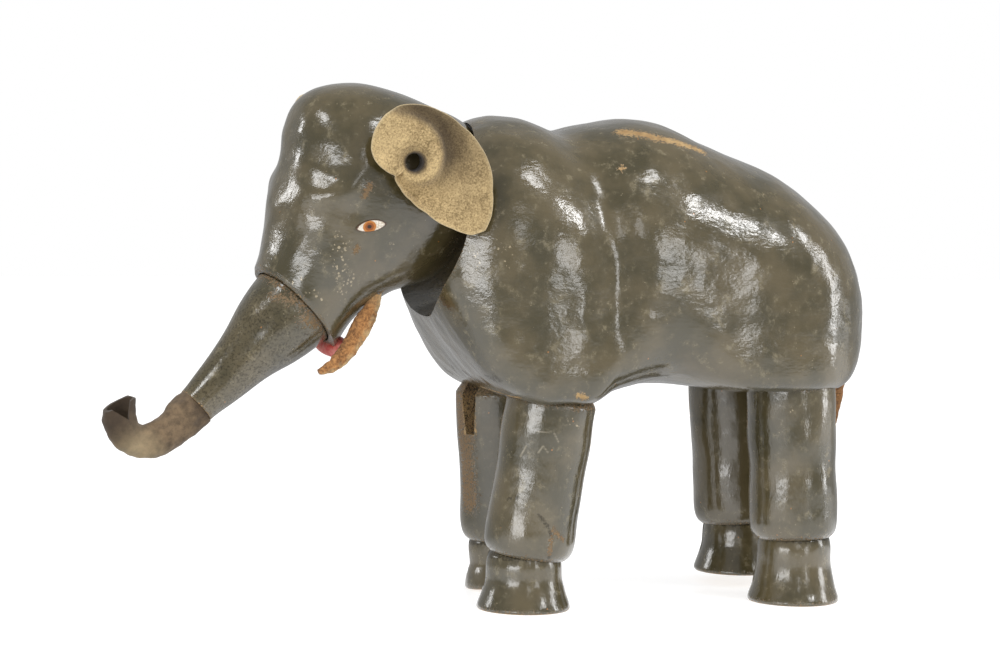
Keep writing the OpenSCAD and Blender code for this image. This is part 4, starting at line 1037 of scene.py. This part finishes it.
def ear_grid(side):
    """Upper face of the sheet from the root outwards, its rounded edge, the lower face back to the root, and
    the tube of the root, as one closed row of rings; and the painted shade of the trough on the upper face."""
    listed = np.array(EAR_ROWS + [[363, 13]])
    a = np.radians(np.linspace(3, 363, 240, endpoint=False))[None, :]
    reach = np.interp(np.degrees(a), listed[:, 0], listed[:, 1])
    share = np.linspace(0, 1, EAR_SHEET_RINGS)[:, None]
    inner = EAR_ROOT_R - 0.4
    r = inner + (reach - inner) * share
    top = np.stack([-r * np.cos(a), ear_height(r, share, a), r * np.sin(a)], -1)
    under = top[::-1] - [0, EAR_T, 0]
    edge_r = reach + 0.25
    edge_y = ear_height(reach, 1.0, a) - EAR_T / 2
    edge = np.stack([-edge_r * np.cos(a), edge_y, edge_r * np.sin(a)], -1)
    hole_r = EAR_ROOT_R - EAR_T
    outer = np.stack([-EAR_ROOT_R * np.cos(a), 0 * a, EAR_ROOT_R * np.sin(a)], -1)
    bore = np.stack([-hole_r * np.cos(a), 0 * a, hole_r * np.sin(a)], -1)
    rings = [bore + [0, y, 0] for y in EAR_BORE]
    rings += [top, edge, under[:EAR_SHEET_RINGS - 2]]
    rings += [outer + [0, y, 0] for y in (-EAR_T - 1.2, -5, -10, -14.9)]
    grid = np.concatenate(rings)
    grid = grid + 0.12 * ripple(grid, 9, 41 + side)[..., None] * np.array([0, 1, 0])
    mirror = np.diag([1.0, side, 1.0])
    turn = HEAD_TURN @ mirror @ turn_about("Z", EAR_SPLAY)
    root = HEAD_TURN @ np.array([EAR_ROOT[0], side * EAR_ROOT[1], EAR_ROOT[2]]) + NECK
    crest = np.interp(np.degrees(a), EAR_CREST[:, 0], EAR_CREST[:, 1])
    # Painted shade in the trough: it starts just inside the crest, fades outwards, strongest towards 130
    # degrees
    painted_trough_shade = np.clip((r - 0.84 * crest + 0.3) / 2.6, 0, 1) * np.exp(-np.maximum(r - crest - 3, 0) / 8.5)
    return grid @ turn.T + root, 0.8 * painted_trough_shade * np.clip(1.6 - np.abs(np.degrees(a) - 130) / 70, 0, 1)


FIRST_RING = len(EAR_BORE)
EDGE_RING = FIRST_RING + EAR_SHEET_RINGS
for side, name in ((-1, "ear_left"), (1, "ear_right")):
    grid, painted_trough_shade = ear_grid(side)
    ear = skin(name + "_leather", grid)
    # The edge is rubbed pale; the bore, the hole's lip and the trough are darkened as painted shade
    worn = np.zeros(grid.shape[:2])
    worn[EDGE_RING - 1:EDGE_RING + 3] = 0.4
    worn[EDGE_RING - 3:EDGE_RING - 1] = 0.15
    grime_and_shade = np.zeros(grid.shape[:2])
    grime_and_shade[:FIRST_RING] = 0.95
    grime_and_shade[FIRST_RING] = 0.35
    grime_and_shade[FIRST_RING + 1:FIRST_RING + 3] = 0.12
    grime_and_shade[FIRST_RING:EDGE_RING] = np.maximum(grime_and_shade[FIRST_RING:EDGE_RING], painted_trough_shade)
    store(ear, "worn", np.append(worn.reshape(-1), [0, 0]))
    store(ear, "grime_and_shade", np.append(grime_and_shade.reshape(-1), [1, 0]))
    finish_piece(ear, "head", ear_suede, [name])

# %% [markdown]
# The tusks are worn strips of leather, thick in the middle and frayed at their ends. Each is a flat tube
# along its middle line, roughened along its normal: loose fibres would be too fine to show at this size.

# %% Tusks
TUSK_ROWS = [
    [17.3, -30.5, 11.6, 0.45], [19.6, -36.3, 12.6, 0.75], [22.8, -41.4, 13.6, 0.98], [26.4, -46.5, 14.4, 1],
    [30.3, -51.2, 15, 0.88], [35, -55.2, 15.4, 0.6], [39.6, -57, 15.4, 0.25],
]
TUSK_W, TUSK_T = 7, 3


def tusk_grid(side, rings=70, points_each=40):
    """Oval rings square to the middle line, as wide as the strip in its plane and as thick across it."""
    last = len(TUSK_ROWS) - 1
    t = np.linspace(0, last, rings)
    row = along(TUSK_ROWS, t)
    ahead = along(TUSK_ROWS, np.minimum(t + 0.05, last)) - along(TUSK_ROWS, np.maximum(t - 0.05, 0))
    run = np.hypot(ahead[:, 0], ahead[:, 1])
    a = np.linspace(0, 2 * np.pi, points_each, endpoint=False)[None, :]
    w = row[:, 3:4] * TUSK_W / 2
    thick = TUSK_T / 2 * np.minimum(1, row[:, 3:4] + 0.3)
    x = -row[:, :1] + w * np.cos(a) * (ahead[:, 1] / run)[:, None]
    z = row[:, 1:2] + w * np.cos(a) * (ahead[:, 0] / run)[:, None]
    return np.stack([x, side * row[:, 2:3] + thick * np.sin(a), z], -1)


for side, name in ((-1, "tusk_left"), (1, "tusk_right")):
    grid = tusk_grid(side)
    rough = 0.12 * ripple(grid, 4.5, 51 + side) + 0.07 * ripple(grid, 1.6, 53 + side)
    grid = grid + rough[..., None] * grid_normals(grid)
    tusk = skin(name + "_leather", grid @ HEAD_TURN.T + NECK)
    # The rear edge and the root are frayed to pale fibres, the front edge is darkened by handling
    rear = -np.cos(np.linspace(0, 2 * np.pi, grid.shape[1], endpoint=False))[None, :]
    root = np.clip(1 - np.linspace(0, 1, grid.shape[0]) / 0.2, 0, 1)[:, None]
    pale = np.clip(0.75 * rear, 0, 1) * (0.6 + 0.4 * ripple(grid, 2.2, 57))
    store(tusk, "worn", np.append(np.clip(pale + 0.5 * root, 0, 0.8).reshape(-1), [0, 0]))
    handled = np.clip(-0.3 * rear, 0, 1) * np.ones_like(root)
    store(tusk, "grime_and_shade", np.append(handled.reshape(-1), [0, 0]))
    finish_piece(tusk, "head", strip_leather, [name])

# %% [markdown]
# The tail is a flat thong that hangs from its nail, mostly hidden by the near rear leg. A plain strip between
# a front and a rear edge is enough for it, with the strips' leather and some grime.

# %% Tail
TAIL_ROWS = [[0, -0.45, 0.45], [0.2, -0.4, 0.55], [0.42, -0.3, 1], [0.65, -0.02, 0.9], [0.85, 0.15, 0.65],
             [1, 0.3, 0.45]]
TAIL_LEN, TAIL_W, TAIL_T = 26, 5, 1.5


def tail_grid(rings=60, points_each=40):
    """Oval rings down the tail between its front and rear edges, starting above the nail."""
    t = np.linspace(0, len(TAIL_ROWS) - 1, rings)
    row = along(TAIL_ROWS, t)
    a = np.linspace(0, 2 * np.pi, points_each, endpoint=False)[None, :]
    middle = (row[:, 1:2] + row[:, 2:3]) / 2 * TAIL_W
    half = (row[:, 2:3] - row[:, 1:2]) / 2 * TAIL_W
    x = middle + half * np.cos(a)
    y = TAIL_T / 2 * np.sign(np.sin(a)) * np.abs(np.sin(a)) ** 0.6
    z = 2.2 - row[:, :1] * (TAIL_LEN + 2.2) + 0 * a
    return np.stack([x, y + 0 * x, z], -1)


grid = tail_grid()
grid = grid + (0.12 * ripple(grid, 3, 61))[..., None] * grid_normals(grid)
tail = skin("tail_leather", grid + TAIL_PLACE)
store(tail, "worn", np.zeros(len(tail.data.vertices)))
store(tail, "grime_and_shade", np.full(len(tail.data.vertices), 0.42))
finish_piece(tail, "tail", strip_leather, ["tail"])

# %% [markdown]
# Legs and feet are turned on a lathe: one profile round an axis. Each leg has a domed top with a saw cut for
# its elastic, and a hollow below for the domed foot. The lathe's slight unevenness keeps them from looking
# machined, and each has its own wear.

# %% Legs and feet
LEG_R, LEG_WAIST_R, LEG_BULGE_R = 15.2, 14.7, 15.1
LEG_SLOT_W, LEG_SLOT_BOTTOM_W, FOOT_SLOT_W = 6.4, 3.8, 4
LEG_BOTTOM_H, LEG_BULGE_H, LEG_WAIST_H = 6, 13.5, 30
FOOT_TOP_R, FOOT_BASE_R = 12.1, 15.5
NAIL_R, CORD_R, LOOP_SLACK = 0.9, 1.2, 0.9
LOOP_OUTER_R = NAIL_R + LOOP_SLACK + CORD_R + CORD_R
LEG_RIM_R = math.sqrt((ANKLE_DOME_R + SEAT_GAP) ** 2 - LEG_BOTTOM_H ** 2) + 0.4
HIP_EDGE_H = math.sqrt(HIP_DOME_R ** 2 - LEG_R ** 2)
ANKLE_EDGE_H = math.sqrt(ANKLE_DOME_R ** 2 - FOOT_TOP_R ** 2)
LEG_SIDE = [
    [LEG_RIM_R, LEG_BOTTOM_H - LEG_LEN],
    [LEG_RIM_R + 0.52 * (LEG_BULGE_R - LEG_RIM_R), LEG_BOTTOM_H + 1.3 - LEG_LEN],
    [LEG_RIM_R + 0.86 * (LEG_BULGE_R - LEG_RIM_R), LEG_BOTTOM_H + 3.5 - LEG_LEN],
    [LEG_BULGE_R, LEG_BULGE_H - LEG_LEN],
    [(LEG_BULGE_R + LEG_WAIST_R) / 2, (LEG_BULGE_H + LEG_WAIST_H) / 2 - LEG_LEN],
    [LEG_WAIST_R, LEG_WAIST_H - LEG_LEN], [(LEG_WAIST_R + LEG_R) / 2, (LEG_WAIST_H - LEG_LEN) / 2],
    [LEG_R, 0], [LEG_R, HIP_EDGE_H],
]
# Section of the saw cut in the top of a leg, wider where it meets the body
LEG_SLOT = [
    [-LEG_SLOT_BOTTOM_W / 2, -LOOP_OUTER_R - 0.6], [LEG_SLOT_BOTTOM_W / 2, -LOOP_OUTER_R - 0.6],
    [LEG_SLOT_W / 2, HIP_DROP], [LEG_SLOT_W / 2, HIP_DOME_R + 1], [-LEG_SLOT_W / 2, HIP_DOME_R + 1],
    [-LEG_SLOT_W / 2, HIP_DROP],
]


def leg_place(i):
    """Turn and shift of a leg's own frame, with its origin at the hip centre."""
    return turn_about("Z", LEG_TURN[i]) @ turn_about("Y", LEG_SWING[i]), hip_place(i)


def ankle_place(i):
    """Turn and shift of a foot's own frame, with its origin at the ankle centre."""
    turn = turn_about("Z", LEG_TURN[i])
    hip = hip_place(i)
    ahead = -LEG_LEN * math.sin(math.radians(LEG_SWING[i]))
    shift = hip + turn @ np.array([ahead, 0, ankle_height(i) - hip[2]])
    return turn @ turn_about("Z", FOOT_TURN[i]) @ turn_about("Y", FOOT_TILT[i]), shift


def foot_height(i):
    """Height of a foot below its ankle centre; a tilted foot stands on the edge of its sole."""
    tilt = math.radians(abs(FOOT_TILT[i]))
    ankle = ankle_height(i) - (REAR_RIGHT_LIFT if i == 3 else 0)
    return (ankle - (FOOT_BASE_R - 0.3) * math.sin(tilt)) / math.cos(tilt)


# Marks of each leg at rest: fine scratches, pale scuffs, wear to the undercoat and dark cracks
LEG_MARKS = {
    "front_left": {
        "scratch": [
            ((6.4, -34.5, 60.2), (10.7, -36.3, 60.3), 0.9), ((11.6, -36.5, 60.1), (13.4, -36.5, 56.7), 0.9),
            ((6.9, -34.7, 53.3), (8.3, -35.4, 55.7), 0.9), ((8.3, -35.4, 55.7), (10.1, -35.8, 53.3), 0.9),
            ((1.9, -31, 51.7), (3.5, -32.4, 55.4), 0.9),
        ],
        "scuff_and_highlight": [((17.2, -36.7, 63.9), (19.3, -36.1, 62.1), 1.6)],
        "worn": [((12.1, -35, 28.3), (16.5, -33.3, 24.4), 1.4), ((11.8, -34.8, 25), (11.7, -33.9, 20), 1.5)],
        "grime_and_shade": [
            ((7.6, -34.8, 33), (11.7, -35, 27.4), 1.0), ((11.7, -35, 27.4), (11.7, -33.5, 18.6), 1.1),
            ((-0.9, -28.9, 37.7), (-0.8, -29, 37.9), 1.4), ((1.1, -31.1, 38.3), (1.2, -31.1, 38.4), 1.2),
        ],
    },
    "front_right": {
        "worn": [((-3.1, 19, 68.8), (-2, 18.2, 52.3), 8.0), ((-2, 18.2, 52.3), (-0.3, 17.9, 31.6), 7.0)],
        "scuff_and_highlight": [((-1.9, 17.2, 60.7), (-1.9, 17.4, 60), 1.2), ((-1, 18.5, 41.9), (-1, 18.5, 41), 1.2)],
    },
    "rear_left": {"scuff_and_highlight": [((96, -35.5, 66), (98, -36, 65), 1.0)]},
    "rear_right": {},
}


def add_leg(i):
    """Turned leg, cut by the saw slot at its top and hollowed for the foot at its bottom."""
    name = LEGS[i]
    radii, heights = turned_profile(LEG_SIDE, HIP_DOME_R, LEG_R)
    place = leg_place(i)
    leg = skin("turned_leg_" + name, revolve(radii, heights, place, 200, 0.10, 70 + i))
    across_leg = (place[0] @ turn_about("Z", 90), place[1])
    slot_cut = prism("slot_cut", LEG_SLOT, -LEG_R - 3, LEG_R + 3, across_leg)
    ankle = place[1] + place[0] @ np.array([0, 0, -LEG_LEN])
    carve(leg, [slot_cut, ball("ankle_cut", ankle, ANKLE_DOME_R + SEAT_GAP)])
    local = (mesh_points(leg) - place[1]) @ place[0]
    across = np.hypot(local[:, 0], local[:, 1])
    in_slot = (np.abs(local[:, 1]) < LEG_SLOT_W / 2 + 0.05) & (local[:, 2] > -LOOP_OUTER_R - 1)
    in_seat = np.linalg.norm(local - [0, 0, -LEG_LEN], axis=1) < ANKLE_DOME_R + SEAT_GAP + 0.1
    rim = np.clip(1 - np.abs(local[:, 2] - LEG_BOTTOM_H + LEG_LEN) / 2.5, 0, 1)
    top = np.clip((local[:, 2] - HIP_EDGE_H + 1.5) / 4, 0, 0.45)
    points = mesh_points(leg)
    kinds = ("worn", "scratch", "scuff_and_highlight", "grime_and_shade")
    marks = {key: wear_value(points, LEG_MARKS[name].get(key, [])) for key in kinds}
    marks["worn"] = np.minimum(marks["worn"], 0.62)
    store(leg, "worn", np.maximum(np.maximum(rim * 0.38, top), marks["worn"]))
    store(leg, "bare", np.where(in_slot & (across > LEG_R - 1.5), 0.5, 0) + rim * 0.1)
    # Inside the saw cut and in the foot's seat the wood is darkened as painted shade
    painted_shade_inside = in_seat | (in_slot & (across < LEG_R - 2))
    store(leg, "grime_and_shade", np.maximum(np.where(painted_shade_inside, 2.0, 0), marks["grime_and_shade"]))
    store(leg, "scuff_and_highlight", marks["scuff_and_highlight"])
    store(leg, "scratch", marks["scratch"])
    finish_piece(leg, "leg_" + name, leg_enamel, ["leg_" + name])


def add_foot(i):
    """Turned bell with a domed top, cut by its own saw slot."""
    name = LEGS[i]
    height = foot_height(i)
    side = [
        [FOOT_BASE_R - 0.3, -height], [FOOT_BASE_R, 1.2 - height],
        [(FOOT_BASE_R + FOOT_TOP_R) / 2 + 0.2, 5.5 - height], [FOOT_TOP_R + 0.8, 0.35 * (5.5 - height)],
        [FOOT_TOP_R + 0.5, 3], [FOOT_TOP_R, ANKLE_EDGE_H],
    ]
    radii, heights = turned_profile(side, ANKLE_DOME_R, FOOT_TOP_R)
    place = ankle_place(i)
    foot = skin("turned_foot_" + name, revolve(radii, heights, place, 128, 0.08, 80 + i))
    half, low, high = FOOT_SLOT_W / 2, -LOOP_OUTER_R - 0.6, ANKLE_DOME_R + 2
    outline = [[-half, low], [half, low], [half, high], [-half, high]]
    across_foot = (place[0] @ turn_about("Z", 90), place[1])
    carve(foot, [prism("slot_cut", outline, -FOOT_BASE_R - 3, FOOT_BASE_R + 3, across_foot)])
    local = (mesh_points(foot) - place[1]) @ place[0]
    base = np.clip(1 - (local[:, 2] + height) / 2.2, 0, 1)
    store(foot, "worn", base * 0.4)
    store(foot, "bare", np.clip((-height + 0.3 - local[:, 2]) * 4, 0, 0.7))
    # The top of the foot, up inside the leg, is darkened as painted shade between the parts
    store(foot, "grime_and_shade", np.clip((local[:, 2] - 4.5) / 2, 0, 0.8))
    store(foot, "scuff_and_highlight", np.zeros(len(local)))
    finish_piece(foot, "foot_" + name, leg_enamel, ["foot_" + name])


for i in range(4):
    add_leg(i)
    add_foot(i)

# %% [markdown]
# What is left are the hidden fastenings. The cords are rubber covered with woven cotton, and the brads and
# nails are drawn iron wire gone dull. Their shapes in the model are right, so they only get their finish.

# %% Cords and nails


def woven_cotton():
    """Cotton cover of round elastic: fine ribs about 1 mm apart along the cord, dulled by age."""
    material, tree, output, place = new_material("woven_cotton_over_rubber")
    rib = add(tree, "TexWave", {"Vector": place, "Scale": 0.6, "Distortion": 1.5, "Detail": 2.0},
              bands_direction="DIAGONAL").outputs["Fac"]
    tone = add(tree, "Mix", {0: rib, 6: hex_colour("8f8874"), 7: hex_colour("c9c0a6")}, **COLOURS).outputs[2]
    bump = add(tree, "Bump", {"Height": rib, "Strength": 0.6, "Distance": 0.0002}).outputs[0]
    shader = add(tree, "BsdfPrincipled", {"Base Color": tone, "Roughness": 0.85, "Normal": bump})
    tree.links.new(shader.outputs[0], output.inputs["Surface"])
    return material


def dull_iron():
    """Drawn iron wire with a brown bloom in patches of 2 mm."""
    material, tree, output, place = new_material("drawn_iron_wire")
    bloom = add(tree, "TexNoise", {"Vector": place, "Scale": 0.5, "Detail": 4.0}).outputs["Fac"]
    rust = add(tree, "MapRange", {"Value": bloom, "From Min": 0.5, "From Max": 0.65}, **SMOOTH).outputs[0]
    tone = add(tree, "Mix", {0: rust, 6: hex_colour("7c7a75"), 7: hex_colour("5a3a22")}, **COLOURS).outputs[2]
    metal = add(tree, "MapRange", {"Value": rust, "To Min": 1.0, "To Max": 0.2}).outputs[0]
    rough = add(tree, "MapRange", {"Value": rust, "To Min": 0.4, "To Max": 0.8}).outputs[0]
    shader = add(tree, "BsdfPrincipled", {"Base Color": tone, "Roughness": rough, "Metallic": metal})
    tree.links.new(shader.outputs[0], output.inputs["Surface"])
    return material


cotton, iron = woven_cotton(), dull_iron()
for name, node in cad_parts.items():
    if node.hide_render:
        continue
    is_cord = "cord" in name
    node.data.materials.clear()
    node.data.materials.append(cotton if is_cord else iron)
    print(name, "cotton" if is_cord else "iron")
